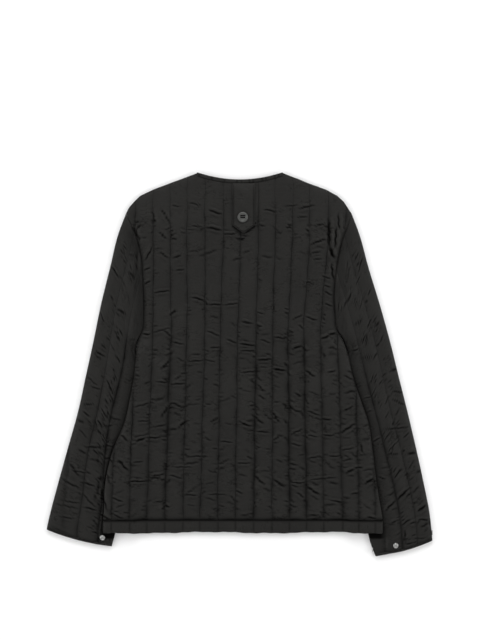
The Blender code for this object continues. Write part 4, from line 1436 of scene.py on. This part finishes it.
def sleeve_plan(side, stations, trim):
    """Places across and down over a sleeve's upper side (station, column), the insets from both edges, and
    each column's zone and part."""
    zones = np.array([(zone, part) for zone, parts in enumerate(SLEEVE_SHARES) for part in parts])
    paths = [head_path(side, zone, part, stations, trim) for zone, part in zones if zone < 2]
    second = head_path(side, 1, 1.0, stations, trim)
    inner = inner_path(side, stations, trim)
    width = np.hypot(*(inner - second))
    middle_down = (second[1] + inner[1]) / 2
    line = read(SLEEVE_LINES, f"{side}_second", middle_down)
    visible = (seam_reach(side, middle_down) - line) / (inner_reach(side, middle_down) - line)
    visible = np.minimum(visible, 1 - (EDGE_RADIUS + HIDDEN_WIDTH) / width)
    turned = 1 - smooth(stations / UNDERARM_LENGTH)
    for zone, part in zones[zones[:, 0] >= 2]:
        share = part * visible if zone == 2 else visible + part * (1 - visible)
        straight = second + (inner - second) * share
        seam_down = second[1][0] + (inner[1][0] - second[1][0]) * share[0]
        on_seam = np.array([body_edge(side, seam_down) + SEAM_GAP / 2, seam_down])
        paths.append(straight + (on_seam - straight[:, 0])[:, None] * turned)
    x, down = (np.array([path[axis] for path in paths]).T for axis in (0, 1))
    from_outer = np.hypot(x - x[:, :1], down - down[:, :1])
    from_inner = np.hypot(x - x[:, -1:], down - down[:, -1:])
    return x, down, from_outer, from_inner, zones


def sleeve_creases(rng, side):
    """Small creases of a sleeve in its own measures: across from its outer edge, and along."""
    top = SLEEVE_OUTER["down"][0]

    def first(q):
        return float(read(SLEEVE_LINES, f"{side}_first", q + top))

    def second(q):
        return float(read(SLEEVE_LINES, f"{side}_second", q + top))

    def spacing(q):
        return float(np.interp(q, (0, 120, 300, 620), (60, 44, 32, 26)))

    def cross_spacing(q):
        return float(np.interp(q, (0, 120, 300, 620), (80, 50, 38, 30)))

    found = gathers(rng, first, 40, 600, spacing, 0.7) + gathers(rng, second, 40, 600, spacing, 0.8)
    if side == "left":
        found += gathers(rng, second, 240, 520, lambda q: 12.0, 1.0, -20.0)
    found += cross_creases(rng, lambda q: 4.0, first, 60, 600, cross_spacing, 0.8)
    found += cross_creases(rng, first, second, 60, 600, cross_spacing, 0.8)
    found += cross_creases(rng, second, lambda q: second(q) + 30, 60, 600, cross_spacing, 0.8)
    return found


def line_strength(side, along):
    """How strongly a sleeve's two lines of stitching are drawn in along it, and how much shade is painted
    along
    them, 0 to 1: faint near its head.
    """
    if side == "left":
        return 0.1 + 0.65 * smooth((along - 230) / 120), 0.1 + 0.9 * smooth((along - 130) / 60)
    return 0.1 + 0.3 * smooth((along - 230) / 150), 0.1 + 0.65 * smooth((along - 150) / 80)


def sleeve_surface(side, sizes, creases, stations, trim):
    """A sleeve's upper side: places, heights, stitched points, its rounded share, and marks of painted shade
    and highlight. Its height is the wall at its lines and the channels' puff less what the creases take,
    rounded down at both edges."""
    x, down, from_outer, from_inner, zones = sleeve_plan(side, stations, trim)
    zone, part = zones.T
    rounded = rounding(from_outer) * rounding(from_inner)
    fullness = np.select([zone == 0, zone == 1, zone == 2], [0.95, 0.92, 0.7], 0.0)
    puff = sizes.puff / MM * channel_top(part) * fullness * fade(SLEEVE_LENGTH * stations)[:, None]
    puff = puff * puckered(down, zone + 3.0)
    puff = puff * (1 + 0.3 * np.sin(down / 16.0 + 2.7 * zone) * np.sin(from_outer / 9.0 + down / 29.0))
    along = SLEEVE_LENGTH * stations[:, None] + 0 * x
    taken, dark, light = creased(from_outer, along, creases)
    placed, placed_painted_shade, placed_painted_highlight = creased(SIDES[side] * x, down, placed_creases())
    taken, dark, light = taken + placed, np.maximum(dark, placed_painted_shade), np.maximum(light, placed_painted_highlight)
    sewn = (part == 0) & np.isin(zone, (1, 2))
    stitched = np.repeat(sewn[None], len(x), axis=0)
    puff = np.where(stitched, 0, sunk(puff, taken))
    if side == "left":
        short = bell(from_outer - read(SHORT_LINE, "reach", down), 3.2) * smooth((down - 505) / 20)
        puff = puff * (1 - 0.6 * short)
        # painted shade along the short line
        dark = np.maximum(dark, 0.3 * short)
    z = LAYER_MIDDLE + (SEAM_TOP + puff - LAYER_MIDDLE) * rounded
    first, second = line_strength(side, along)
    off_first, off_second = (
        np.hypot(x - x[:, column:column + 1], down - down[:, column:column + 1])
        for column in np.flatnonzero(sewn)
    )
    # painted shade along the two lines of stitching
    narrow = np.maximum(0.8 * bell(off_first, 1.5), 0.45 * bell(off_first, 4.5))
    wide = np.maximum(0.95 * bell(off_second, 2.6), 0.5 * bell(off_second, 6.0))
    uneven = 0.75 + 0.25 * np.sin(down / 13.0 + zone) * np.sin(down / 7.1)
    lines = np.maximum(first * narrow, second * wide) * uneven
    # painted shadow of the body's side on the sleeve
    out = np.abs(x - body_edge(side, down))
    shaded = 0.2 + 0.15 * (side == "left") * (1 - smooth((down - 270) / 60))
    under = np.maximum(0.5 * bell(out, 3.5), shaded * bell(out, 17.0)) * smooth((down - 95) / 25)
    # painted shadow under the hem's corner
    corner = smooth((down - 674) / 4) * smooth((698 - down) / 5)
    corner = corner * smooth((body_edge(side, 680.0) + 1 - x) / 5)
    dark = np.maximum.reduce([dark, lines, under, corner])
    return x, down, z, stitched, rounded, painted_mark(dark, light)


def ring(upper, lower):
    """Closed rings of points: over the top, and back below without its two ends."""
    return np.concatenate([upper, lower[:, -2:0:-1]], axis=1)


def drawn_in(x, down, inset):
    """The same rows of points across, drawn in along their own line by an inset at both ends."""
    steps = np.hypot(np.diff(x, axis=1), np.diff(down, axis=1))
    along = np.concatenate([np.zeros((len(x), 1)), np.cumsum(steps, axis=1)], axis=1)
    wanted = inset + along * (1 - 2 * inset / along[:, -1:])
    drawn_x = np.array([np.interp(*row) for row in zip(wanted, along, x)])
    drawn_down = np.array([np.interp(*row) for row in zip(wanted, along, down)])
    return drawn_x, drawn_down


def hollow_rings(side, x, down):
    """Rings of a sleeve's inner side: two flat layers with a narrow gap between, drawn in from its edges."""
    inner_x, inner_down = drawn_in(x, down, HOLLOW_INSET)
    ends = np.isin(np.arange(x.shape[1]), (0, x.shape[1] - 1))
    ceiling = points(SIDES[side] * inner_x, inner_down, np.where(ends, LAYER_MIDDLE, INNER_FLOOR))
    floor = points(SIDES[side] * inner_x, inner_down, np.where(ends, LAYER_MIDDLE, FRONT_WALL))
    return ring(ceiling, floor)


def ring_map(rings, along):
    """A cloth map for rings: across from the outer edge, and along."""
    rows, columns = rings.shape[:2]
    steps = np.linalg.norm(np.diff(rings, axis=1), axis=-1)
    across = np.concatenate([np.zeros((rows, 1)), np.cumsum(steps, axis=1)], axis=1)
    return np.stack([across, np.repeat(along[:, None], columns, axis=1)], axis=-1)


class JACKET_OT_sleeves(bpy.types.Operator):
    """Makes the two flattened sleeves and lets their cloth settle"""

    bl_idname = "jacket.sleeves"
    bl_label = "Sleeves"

    def execute(self, context):
        sizes, cloth = context.scene.jacket_sizes, context.scene.jacket_cloth
        stations = np.linspace(0, 1, SLEEVE_STATIONS)
        coarse = np.linspace(SLEEVE_STATIONS - 1, 0, SLEEVE_INNER_STATIONS).round().astype(int)
        along = SLEEVE_LENGTH * MM * stations
        trim = CUFF_BINDING + SEAM_GAP
        for side, sign in SIDES.items():
            rng = np.random.default_rng(cloth.seed + 5 + sign)
            creases = sleeve_creases(rng, side)
            x, down, z, stitched, rounded, dark = sleeve_surface(side, sizes, creases, stations, trim)
            held = stitched.copy()
            held[:2], held[-3:], held[:, :2], held[:, -HIDDEN_COLUMNS:] = True, True, True, True
            start = points(sign * x, down, z)
            upper = settled(f"sleeve_{side}_trial", start, held, cloth, side == "left")
            upper[..., 2] = np.clip(upper[..., 2], (LAYER_MIDDLE + SHELL_WALL * rounded) * MM, None)
            strengths = np.stack(line_strength(side, SLEEVE_LENGTH * stations), axis=-1)
            deep = np.zeros(x.shape)
            deep[:, np.flatnonzero(stitched[-1])] = sizes.groove * strengths
            upper[..., 2] -= np.where(stitched & (stations > 0.01)[:, None], deep, 0)
            outer = ring(upper, points(sign * x, down, LAYER_MIDDLE * (1 - rounded)))
            inner = hollow_rings(side, x[coarse], down[coarse])
            vertices = np.concatenate([outer, inner])
            uv = np.concatenate([ring_map(outer, along), ring_map(inner, along[coarse])])
            marks = np.zeros(vertices.shape[:2])
            # painted shade in the creases, along the lines, beside the body and in the settled folds
            marks[: len(x), : x.shape[1]] = joined(dark, SLEEVE_FOLD_PAINTED_SHADE * folds(upper))
            faces, name, node = tube_faces(outer, inner), f"quilted_sleeve_{side}", f"sleeve_{side}"
            piece = make_piece(name, vertices, faces, "quilted_nylon", node, uv, marks)
            paths = [path + STITCH_LIFT for path in line_paths(upper, stitched)]
            make_stitches(f"sleeve_stitches_{side}", paths, QUILT_STITCH, "stitch")
            area = 2 * plan_area(x, down)
            declared(area, ["floor"], [f"sleeve_stitches_{side}"])
        return {"FINISHED"}


# A cuff binding's section: how far across it, and how much it swells there.
CUFF_SECTION = table(
    "share swell",
    (0.0, -0.5),
    (0.06, 0.1),
    (0.2, 0.6),
    (0.4, 0.8),
    (0.6, 0.75),
    (0.8, 0.5),
    (0.94, 0.0),
    (1.0, -0.8),
)
CUFF_INNER = [-1, 3, 0]                 # its rows that the inner side has too, back to the start


class JACKET_OT_cuff_bindings(bpy.types.Operator):
    """Makes the narrow bindings that end the sleeves"""

    bl_idname = "jacket.cuff_bindings"
    bl_label = "Cuff bindings"

    def execute(self, context):
        sizes, end = context.scene.jacket_sizes, np.array([1.0])
        shares = CUFF_SECTION["share"]
        for side, sign in SIDES.items():
            rings, plans = [], []
            for share, swell in zip(shares, CUFF_SECTION["swell"]):
                trim = CUFF_BINDING * (1 - share)
                x, down, _, _, rounded, _ = sleeve_surface(side, sizes, [], end, trim)
                plans.append((x, down))
                ripple = 0.25 * np.sin(x / 2.7 + 6 * share)
                top = LAYER_MIDDLE + (SEAM_TOP - 0.6 + swell + ripple - LAYER_MIDDLE) * rounded
                below = points(sign * x, down, LAYER_MIDDLE * (1 - rounded))
                rings.append(ring(points(sign * x, down, top), below))
            outer = np.concatenate(rings)
            inner = np.concatenate([hollow_rings(side, *plans[place]) for place in CUFF_INNER])
            vertices = np.concatenate([outer, inner])
            uv = ring_map(vertices, np.concatenate([shares, shares[CUFF_INNER]]) * CUFF_BINDING * MM)
            faces, name, node = tube_faces(outer, inner), f"cuff_tape_{side}", f"cuff_binding_{side}"
            piece = make_piece(name, vertices, faces, "plain_nylon", node, uv)
            x, down, z, *_ = sleeve_surface(side, sizes, [], end, CUFF_BINDING + 2.6)
            path = points(sign * x, down, z + 0.5)[0, 2:-5]
            make_stitches(f"cuff_stitches_{side}", [path], TRIM_STITCH)
            declared(CUFF_AREA, ["floor"], [f"cuff_stitches_{side}"])
        return {"FINISHED"}


# ---- Hem band, neck bindings and tab ----


def strip_profile(count, seam_half, edge_half):
    """A strip's section, over the top and back below: shares across it, and half thicknesses."""
    share = (1 - np.cos(np.linspace(0, math.pi, count))) / 2
    body = 1 - 0.16 * np.abs(2 * share - 1) ** 2
    ends = np.minimum(seam_half + (1 - seam_half) * smooth(share / 0.12), 1)
    turned = np.sqrt(np.clip(1 - ((share - 0.86) / 0.14).clip(0, 1) ** 2, 0, 1))
    half = body * (ends * (edge_half + (1 - edge_half) * turned))
    return np.concatenate([share, share[::-1]]), np.concatenate([half, -half[::-1]])


HEM_PROFILE = strip_profile(11, 0.62, 0.45)
BINDING_PROFILE = strip_profile(9, 0.5, 0.35)


class JACKET_OT_hem_band(bpy.types.Operator):
    """Makes the band folded round the hem"""

    bl_idname = "jacket.hem_band"
    bl_label = "Hem band"

    def execute(self, context):
        half = (LAYER_MIDDLE - LAYER_GAP) / 2
        turn = LAYER_MIDDLE - half
        left, right = (sign * (body_edge(side, HEM_SEAM_DOWN) - LAYER_MIDDLE) for side, sign in SIDES.items())
        turns = np.linspace(0, 180, 13)[1:-1]
        runs = (
            (-SEAM_GAP / 2, left, np.full(HEM_UNDER_STATIONS, 270.0)),
            (left, left, 270 - turns),
            (left, right, np.full(HEM_UPPER_STATIONS, 90.0)),
            (right, right, 90 - turns),
            (right, SEAM_GAP / 2, np.full(HEM_UNDER_STATIONS, -90.0)),
        )
        base_x = np.concatenate([np.linspace(start, end, len(angles)) for start, end, angles in runs])
        angle = np.radians(np.concatenate([angles for _, _, angles in runs]))
        normal = np.stack([np.cos(angle), np.sin(angle)], axis=-1)
        share, thick = HEM_PROFILE
        level = np.full(base_x.shape, 640.0)
        off = base_x - quilt_x(np.round(quilt_place(base_x, level)), level)
        above = normal[:, 1] > 0.5
        dent = 0.45 * bell(off, 2.6) * above
        swell = 0.25 * np.sin(base_x / 7.3) + 0.2 * np.sin(base_x / 3.1 + 1.3)
        reach = turn + half * thick - np.where(thick > 0, (dent - 0.6 * swell * above)[:, None], 0)
        wave = 1.6 + HEM_WAVE * np.sin(base_x / 37.0) + 0.5 * np.sin(base_x / 11.0)
        wave = wave + 0.3 * np.sin(base_x / 4.1)
        down = HEM_SEAM_DOWN + share * HEM_BAND + wave[:, None] * share
        base = lift(base_x, HEM_SEAM_DOWN)[:, None] + LAYER_MIDDLE
        z = np.maximum(base + normal[:, 1:] * reach, 0)
        sections = points(base_x[:, None] + normal[:, :1] * reach, down, z)
        # painted shade at the lines' dents and along the seam at the band's top, and painted shade of small
        # puckers in patches along its lower edge
        dark = np.maximum(0.4 * bell(off, 1.6)[:, None], 0.8 * bell(share, 0.1)) * above[:, None]
        painted_pucker_shade = (np.sin(base_x / 5.3) > 0.1)[:, None]
        dark = np.maximum(dark, 0.35 * bell(share - 1, 0.08) * painted_pucker_shade)
        piece = make_strip("hem_strip", sections, "hem_band", dark)
        make_stitches("hem_stitches", [sections[above, 1] + HEM_STITCH_LIFT], HEM_STITCH)
        declared(None, ["floor"], ["hem_stitches"])
        return {"FINISHED"}


def binding_sections(edge, seam, floor, thickness):
    """Sections of a flat binding from its finished edge to its seam, each as places across and down."""
    (edge_x, edge_down), (seam_x, seam_down) = np.asarray([edge, seam])[..., None]
    share, half = BINDING_PROFILE
    x = seam_x + share * (edge_x - seam_x)
    down = seam_down + share * (edge_down - seam_down)
    return points(x, down, floor + thickness / 2 * (1 + half))


class JACKET_OT_neck_bindings(bpy.types.Operator):
    """Makes the narrow bindings of the back neck and of the two hidden front necks"""

    bl_idname = "jacket.neck_bindings"
    bl_label = "Neck bindings"

    def execute(self, context):
        reach = NECK_HALF_WIDTH + 2.5
        x = np.linspace(-reach, reach, NECK_STATIONS)
        down = back_neck_down(x)
        wrap = NECK_BINDING + 1.6
        sections = binding_sections((x, down), (x, down + wrap), INNER_FLOOR, 4.8)
        share = BINDING_PROFILE[0]
        # painted shade along the seam side, and painted shade of small puckers in patches over the rest
        painted_pucker_shade = (np.sin(x / 3.7) * np.sin(x / 1.9 + 1) > 0.35)[:, None]
        dark = 0.85 * bell(share, 0.14) + 0.4 * painted_pucker_shade * (share > 0.3)
        piece = make_strip("neck_tape_back", sections, "neck_binding_back", dark)
        seam = points(x, down + NECK_BINDING - 0.6, NECK_STITCH_HEIGHT)
        make_stitches("neck_stitches", [seam], NECK_STITCH)
        rests = ["neck_binding_front_left", "neck_binding_front_right"]
        declared(NECK_AREA, rests, ["neck_stitches"])
        outer = NECK_HALF_WIDTH + NECK_BINDING
        angle = np.linspace(math.radians(4), math.acos(SEAM_GAP / (outer + SEAM_GAP)), NECK_STATIONS)
        cos, sin = np.cos(angle), np.sin(angle)
        lowest = FRONT_NECK_DROP + NECK_BINDING
        for side, sign in SIDES.items():
            edge, seam = (
                (sign * np.maximum(wide * cos, SEAM_GAP / 2), NECK_POINT_DOWN + deep * sin)
                for wide, deep in ((NECK_HALF_WIDTH, FRONT_NECK_DROP), (outer, lowest))
            )
            sections = binding_sections(edge, seam, 0.0, FRONT_WALL)
            piece = make_strip(f"neck_tape_front_{side}", sections, f"neck_binding_front_{side}")
            declared(FRONT_NECK_AREA, ["floor"])
        return {"FINISHED"}


def crest(x, down):
    """Height of the tops of the channels on the upper back, which the tab lies on."""
    return SEAM_TOP + FRAME_PUFF * (1 + PUCKER) * fade(down - back_top(x))


class JACKET_OT_tab(bpy.types.Operator):
    """Makes the pointed tab at the back neck, with its stitching and the bar of thread below it"""

    bl_idname = "jacket.tab"
    bl_label = "Tab"

    def execute(self, context):
        start = float(back_top(np.array(TAB_MIDDLE))) + SEAM_GAP
        shoulder = TAB_TIP_DOWN - TAB_POINT
        levels = np.concatenate([
            start + np.linspace(0, 14, 12),
            np.linspace(start + 16, shoulder, 40)[:-1],
            np.linspace(shoulder, TAB_TIP_DOWN, 16),
        ])
        tip = np.clip((levels - shoulder) / TAB_POINT, 0, 1)
        half = TAB_WIDTH / 2 * (1 - tip) + 1.5 * tip
        share = np.sin(np.linspace(-math.pi / 2, math.pi / 2, 33))
        x = TAB_MIDDLE + half[:, None] * share
        down = levels[:, None] + 0 * x
        edge = np.minimum(half[:, None] * (1 - np.abs(share)), (TAB_TIP_DOWN - down) * 0.8 + 0.2)
        rounded = np.sqrt(np.clip(1 - (1 - np.clip(edge / 1.4, 0, 1)) ** 2, 0, 1))
        seam = bell(edge - TAB_INSET, 0.9) * (down > start + 3)
        ripple = 0.25 * np.sin(down / 9.0 + x / 7.0) + 0.2 * np.sin(down / 4.3 - x / 5.0)
        raised = 1.3 * smooth((down - 92) / 22)
        base = crest(x, down) + SEAM_GAP
        z = base + raised + TAB_THICKNESS * (0.45 + 0.55 * rounded) + ripple * rounded - 0.5 * seam
        upper, lower = points(x, down, z), points(x, down, base + raised * 0.9)
        # painted shade in the groove of the stitching and along the edges, fading near the top
        dark = np.maximum(0.45 * bell(edge - TAB_INSET, 0.8), 0.8 * bell(edge, 0.7))
        dark = dark * smooth((down - start) / 30)
        piece = make_panel("buttoned_tab", upper, lower, TAB_STEPS, "plain_nylon", dark, node="neck_tab")
        rows = np.flatnonzero(levels > start + 2)
        inset = np.maximum(half - TAB_INSET / np.where(tip > 0, 0.7, 1.0), 0)[rows]
        paths = []
        for sign in SIDES.values():
            across = TAB_MIDDLE + sign * inset
            height = np.array([np.interp(a, x[row], upper[row, :, 2]) for a, row in zip(across, rows)])
            path = points(across, levels[rows], height / MM + 0.15)
            paths.append(path[inset > 0.5])
        make_stitches("tab_stitches", paths, TRIM_STITCH)
        low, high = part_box("bartack")
        depth, middle = (high.y - low.y) / 2, (high.y + low.y) / 2
        bent = ((middle - depth, high.z - 0.0003), (middle, high.z), (middle + depth, high.z - 0.0003))
        rungs = np.linspace(low.x + 0.0004, high.x - 0.0004, 22)
        bars = [np.array([(rung, *place) for place in bent]) for rung in rungs]
        make_stitches("bar_of_thread", bars, BAR_STITCH, node="bartack")
        declared(None, ["back"], ["tab_stitches"])
        return {"FINISHED"}


# ---- Button and snaps ----


# Sections of the button and of a snap's cap: radius and height, from the middle of the top to the bottom's.
BUTTON_PROFILE = (
    (0.05, 2.0),
    (2.0, 2.0),
    (4.0, 2.0),
    (5.6, 2.05),
    (6.1, 2.3),
    (6.5, 2.9),
    (7.0, 3.25),
    (7.6, 3.4),
    (8.4, 3.35),
    (9.1, 3.05),
    (9.6, 2.6),
    (9.9, 2.0),
    (10.0, 1.4),
    (9.7, 0.8),
    (8.8, 0.2),
    (8.0, 0.0),
    (0.05, 0.0),
)
SNAP_PROFILE = (
    (0.02, 1.55),
    (0.8, 1.54),
    (1.7, 1.47),
    (2.5, 1.36),
    (3.0, 1.22),
    (3.25, 1.0),
    (3.5, 0.98),
    (3.8, 1.12),
    (4.3, 1.1),
    (4.75, 0.85),
    (4.97, 0.5),
    (5.0, 0.25),
    (4.85, 0.0),
    (0.02, 0.0),
)
SNAP_RADIUS = 5.0
SNAP_NODES = ("cuff_snap_left", "cuff_snap_right", "cuff_snap_right_outer", "cuff_snap_right_inner")
# The button's slots, and the tape through them in millimetres
SLOT_SIZE = (0.0094, 0.0023, 0.008)     # metres
SLOT_OFFSETS = (-0.0008, 0.003)         # up from the button's middle, metres
TAPE_STEPS = (0.3, 0.6, 0.85, 1.0, 1.4, 1.9, 2.4, 2.9)
TAPE_WIDTH = 9.4
TAPE_OFFSET = 1.1
TAPE_LAYER = (0, 0, 0.0003)             # metres


def cut_slots(piece, centre):
    """Cuts two plain slots through the button."""
    slots = []
    for offset in SLOT_OFFSETS:
        mesh = bpy.data.meshes.new("slot")
        cut = bmesh.new()
        bmesh.ops.create_cube(cut, size=1.0)
        bmesh.ops.scale(cut, vec=SLOT_SIZE, verts=cut.verts)
        bmesh.ops.translate(cut, vec=(centre[0], centre[1] + offset, centre[2] + 0.002), verts=cut.verts)
        cut.to_mesh(mesh)
        cut.free()
        slot = bpy.data.objects.new("slot", mesh)
        bpy.context.scene.collection.objects.link(slot)
        modifier = piece.modifiers.new("slot", "BOOLEAN")
        modifier.operation = "DIFFERENCE"
        modifier.solver = "EXACT"
        modifier.object = slot
        slots.append(slot)
    bpy.context.view_layer.update()
    finished = bpy.data.meshes.new_from_object(piece.evaluated_get(bpy.context.evaluated_depsgraph_get()))
    piece.modifiers.clear()
    piece.data = finished
    finished.set_sharp_from_angle(angle=math.radians(50))
    for slot in slots:
        bpy.data.objects.remove(slot, do_unlink=True)


class JACKET_OT_button(bpy.types.Operator):
    """Makes the button on the tab, sewn through two plain slots"""

    bl_idname = "jacket.button"
    bl_label = "Button"

    def execute(self, context):
        low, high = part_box("button")
        centre = ((low.x + high.x) / 2, (low.y + high.y) / 2, low.z)
        up = (0, 0, 1)
        piece = make_turned(
            "sewn_button", BUTTON_PROFILE, BUTTON_STATIONS, centre, up, "button_plastic", "button"
        )
        cut_slots(piece, centre)
        steps = np.array(TAPE_STEPS)
        reach = np.concatenate([-steps[::-1], [0], steps])
        across, along = np.meshgrid(np.linspace(-TAPE_WIDTH / 2, TAPE_WIDTH / 2, 15), reach)
        over = smooth((1.15 - np.abs(along)) / 0.4)
        heights = 0.5 + 1.8 * over + 0.05 * np.cos(across * 4.0)
        tops = np.stack([across, along + TAPE_OFFSET, heights], axis=-1) * MM + centre
        # painted shade where the tape goes down into the slots
        make_panel("button_tape", tops, tops - TAPE_LAYER, (1, 1), "tape", 1 - over)
        return {"FINISHED"}


class JACKET_OT_snaps(bpy.types.Operator):
    """Makes the domed caps of the cuffs' snaps"""

    bl_idname = "jacket.snaps"
    bl_label = "Cuff snaps"

    def execute(self, context):
        for node in SNAP_NODES:
            low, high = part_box(node)
            middle = (low + high) / 2
            facing = {"outer": 1, "inner": -1}.get(node.split("_")[-1])
            if facing:
                axis = (facing, 0.0, 0.0)
                centre = (middle.x - facing * 0.0008, middle.y, middle.z)
                share = (high.z - low.z) / 2 / (SNAP_RADIUS * MM)
            else:
                axis = (0.0, 0.0, 1.0)
                centre = (middle.x, middle.y, low.z)
                share = 1.0
            profile = [(radius * share, height) for radius, height in SNAP_PROFILE]
            name = node.replace("snap", "stud")
            make_turned(name, profile, SNAP_STATIONS, centre, axis, "snap_steel", node)
        return {"FINISHED"}


# ---- Stage ----

CAMERA_MIDDLE = (0.3, 281.2, 5.0)       # across, down and up, under the camera
PICTURE_HEIGHT = 1213.0                 # of the surface, from the picture's lower to its upper edge
LENS = 85.0
SENSOR = 36.0
FLOOR_HALF = 6.0                        # metres
FLOOR_LEVEL = -0.0004                   # metres
# Each light's name, its place and size in metres, and the setting of its power; they face the middle.
LIGHTS = (
    ("light_top", (0.0, 3.4, 2.9), 2.4, "top"),
    ("light_left", (-2.3, 0.2, 1.5), 1.4, "sides"),
    ("light_right", (2.3, 0.2, 1.5), 1.4, "sides"),
    ("light_low", (0.0, -3.6, 2.4), 2.4, "low"),
)


class JACKET_OT_stage(bpy.types.Operator):
    """Makes the pale floor, the soft lights and the camera straight above"""

    bl_idname = "jacket.stage"
    bl_label = "Stage"

    def execute(self, context):
        scene = context.scene
        mesh = bpy.data.meshes.new("floor")
        signs = ((-1, -1), (1, -1), (1, 1), (-1, 1))
        corners = [(x * FLOOR_HALF, y * FLOOR_HALF, FLOOR_LEVEL) for x, y in signs]
        mesh.from_pydata(corners, [], [(0, 1, 2, 3)])
        mesh.materials.append(finish_of("floor"))
        floor = bpy.data.objects.new("floor", mesh)
        scene.collection.objects.link(floor)
        camera = bpy.data.objects.new("camera", bpy.data.cameras.new("camera"))
        scene.collection.objects.link(camera)
        camera.data.lens = LENS
        camera.data.sensor_width = SENSOR
        camera.data.clip_end = 50.0
        x, y, z = points(*CAMERA_MIDDLE)
        camera.location = (x, y, z + PICTURE_HEIGHT * MM * LENS / SENSOR)
        scene.camera = camera
        for name, place, size, setting in LIGHTS:
            data = bpy.data.lights.new(name, "AREA")
            data.energy = getattr(scene.jacket_lights, setting)
            data.size = size
            light = bpy.data.objects.new(name, data)
            light.location = place
            light.rotation_euler = light.location.to_track_quat("Z", "Y").to_euler()
            scene.collection.objects.link(light)
        world = bpy.data.worlds.new("studio")
        world.use_nodes = True
        background = world.node_tree.nodes["Background"]
        background.inputs["Color"].default_value = (1.0, 1.0, 1.0, 1.0)
        background.inputs["Strength"].default_value = scene.jacket_lights.room
        scene.world = world
        scene.view_settings.view_transform = "Standard"
        return {"FINISHED"}


# ---- Add-on ----


def size_setting(name, description, default, low, high):
    """A length that a user may change."""
    return bpy.props.FloatProperty(
        name=name, description=description, default=default, min=low, max=high, precision=4, unit="LENGTH"
    )


def colour_setting(name, description, default):
    """A colour that a user may change."""
    return bpy.props.FloatVectorProperty(
        name=name, description=description, default=default, min=0.0, max=1.0, size=3, subtype="COLOR"
    )


def number_setting(name, description, default, low, high):
    """A number without a unit that a user may change."""
    return bpy.props.FloatProperty(name=name, description=description, default=default, min=low, max=high)


class JacketSizes(bpy.types.PropertyGroup):
    puff: size_setting("Puff", "Rise of a channel above its stitching", 0.003, 0.0, 0.008)
    groove: size_setting("Groove", "Depth that a line of stitching is pulled down", 0.0007, 0.0, 0.003)


class JacketCloth(bpy.types.PropertyGroup):
    seed: bpy.props.IntProperty(name="Seed", description="Draw of the small puckers", default=7, min=0)
    frames: bpy.props.IntProperty(
        name="Frames", description="Steps that the cloth settles for", default=18, min=0, max=60
    )
    ease_across: number_setting("Ease across", "How much wider the cut is than its place", 0.03, 0.0, 0.2)
    ease_along: number_setting("Ease along", "How much longer the cut is than its place", 0.07, 0.0, 0.2)
    pressure: number_setting("Pressure", "Push of the wadding", 1.5, 0.0, 20.0)
    stiffness: number_setting("Stiffness", "Resistance of the cloth to bending", 1.0, 0.0, 50.0)
    cap: size_setting("Cap", "Furthest that a point moves while it settles", 0.003, 0.0, 0.03)


class JacketColours(bpy.types.PropertyGroup):
    nylon: colour_setting("Nylon", "Colour of the cloth", (0.0121, 0.0116, 0.0105))
    tape: colour_setting("Tape", "Colour of the button's tape", (0.036, 0.035, 0.034))
    thread: colour_setting("Thread", "Colour of the thread at the edges and the bar", (0.003, 0.003, 0.003))
    stitch: colour_setting("Stitch", "Colour of the quilting stitches", (0.007, 0.007, 0.007))
    button: colour_setting("Button", "Colour of the button", (0.042, 0.043, 0.04))
    steel: colour_setting("Steel", "Colour of the snap caps", (0.42, 0.42, 0.41))
    floor: colour_setting("Floor", "Colour of the floor", (0.93, 0.93, 0.93))


class JacketLights(bpy.types.PropertyGroup):
    top: number_setting("Top", "Power of the light beyond the neck, in watts", 93.0, 0.0, 1000.0)
    sides: number_setting("Sides", "Power of each light at the sides, in watts", 23.0, 0.0, 1000.0)
    low: number_setting("Low", "Power of the light beyond the hem, in watts", 41.0, 0.0, 1000.0)
    room: number_setting("Room", "Brightness of the room", 0.5, 0.0, 5.0)


OPERATORS = (
    JACKET_OT_stage,
    JACKET_OT_fronts,
    JACKET_OT_back,
    JACKET_OT_sleeves,
    JACKET_OT_cuff_bindings,
    JACKET_OT_hem_band,
    JACKET_OT_neck_bindings,
    JACKET_OT_tab,
    JACKET_OT_button,
    JACKET_OT_snaps,
)
GROUPS = {
    "jacket_sizes": JacketSizes,
    "jacket_cloth": JacketCloth,
    "jacket_colours": JacketColours,
    "jacket_lights": JacketLights,
}


class JACKET_PT_panel(bpy.types.Panel):
    """Lists the jacket's settings and its steps in order"""

    bl_idname = "JACKET_PT_panel"
    bl_label = "Quilted jacket"
    bl_space_type = "VIEW_3D"
    bl_region_type = "UI"
    bl_category = "Jacket"

    def draw(self, context):
        for name, group in GROUPS.items():
            box = self.layout.box()
            for setting in group.__annotations__:
                box.prop(getattr(context.scene, name), setting)
        for operator in OPERATORS:
            self.layout.operator(operator.bl_idname)


def register():
    for group in (*GROUPS.values(), *OPERATORS, JACKET_PT_panel):
        bpy.utils.register_class(group)
    for name, group in GROUPS.items():
        setattr(bpy.types.Scene, name, bpy.props.PointerProperty(type=group))


def unregister():
    for name in GROUPS:
        delattr(bpy.types.Scene, name)
    for group in (JACKET_PT_panel, *reversed(OPERATORS), *GROUPS.values()):
        bpy.utils.unregister_class(group)


def main():
    """Makes the whole jacket and its stage."""
    register()
    for operator in OPERATORS:
        group, name = operator.bl_idname.split(".")
        getattr(getattr(bpy.ops, group), name)()


if __name__ == "__main__":
    main()
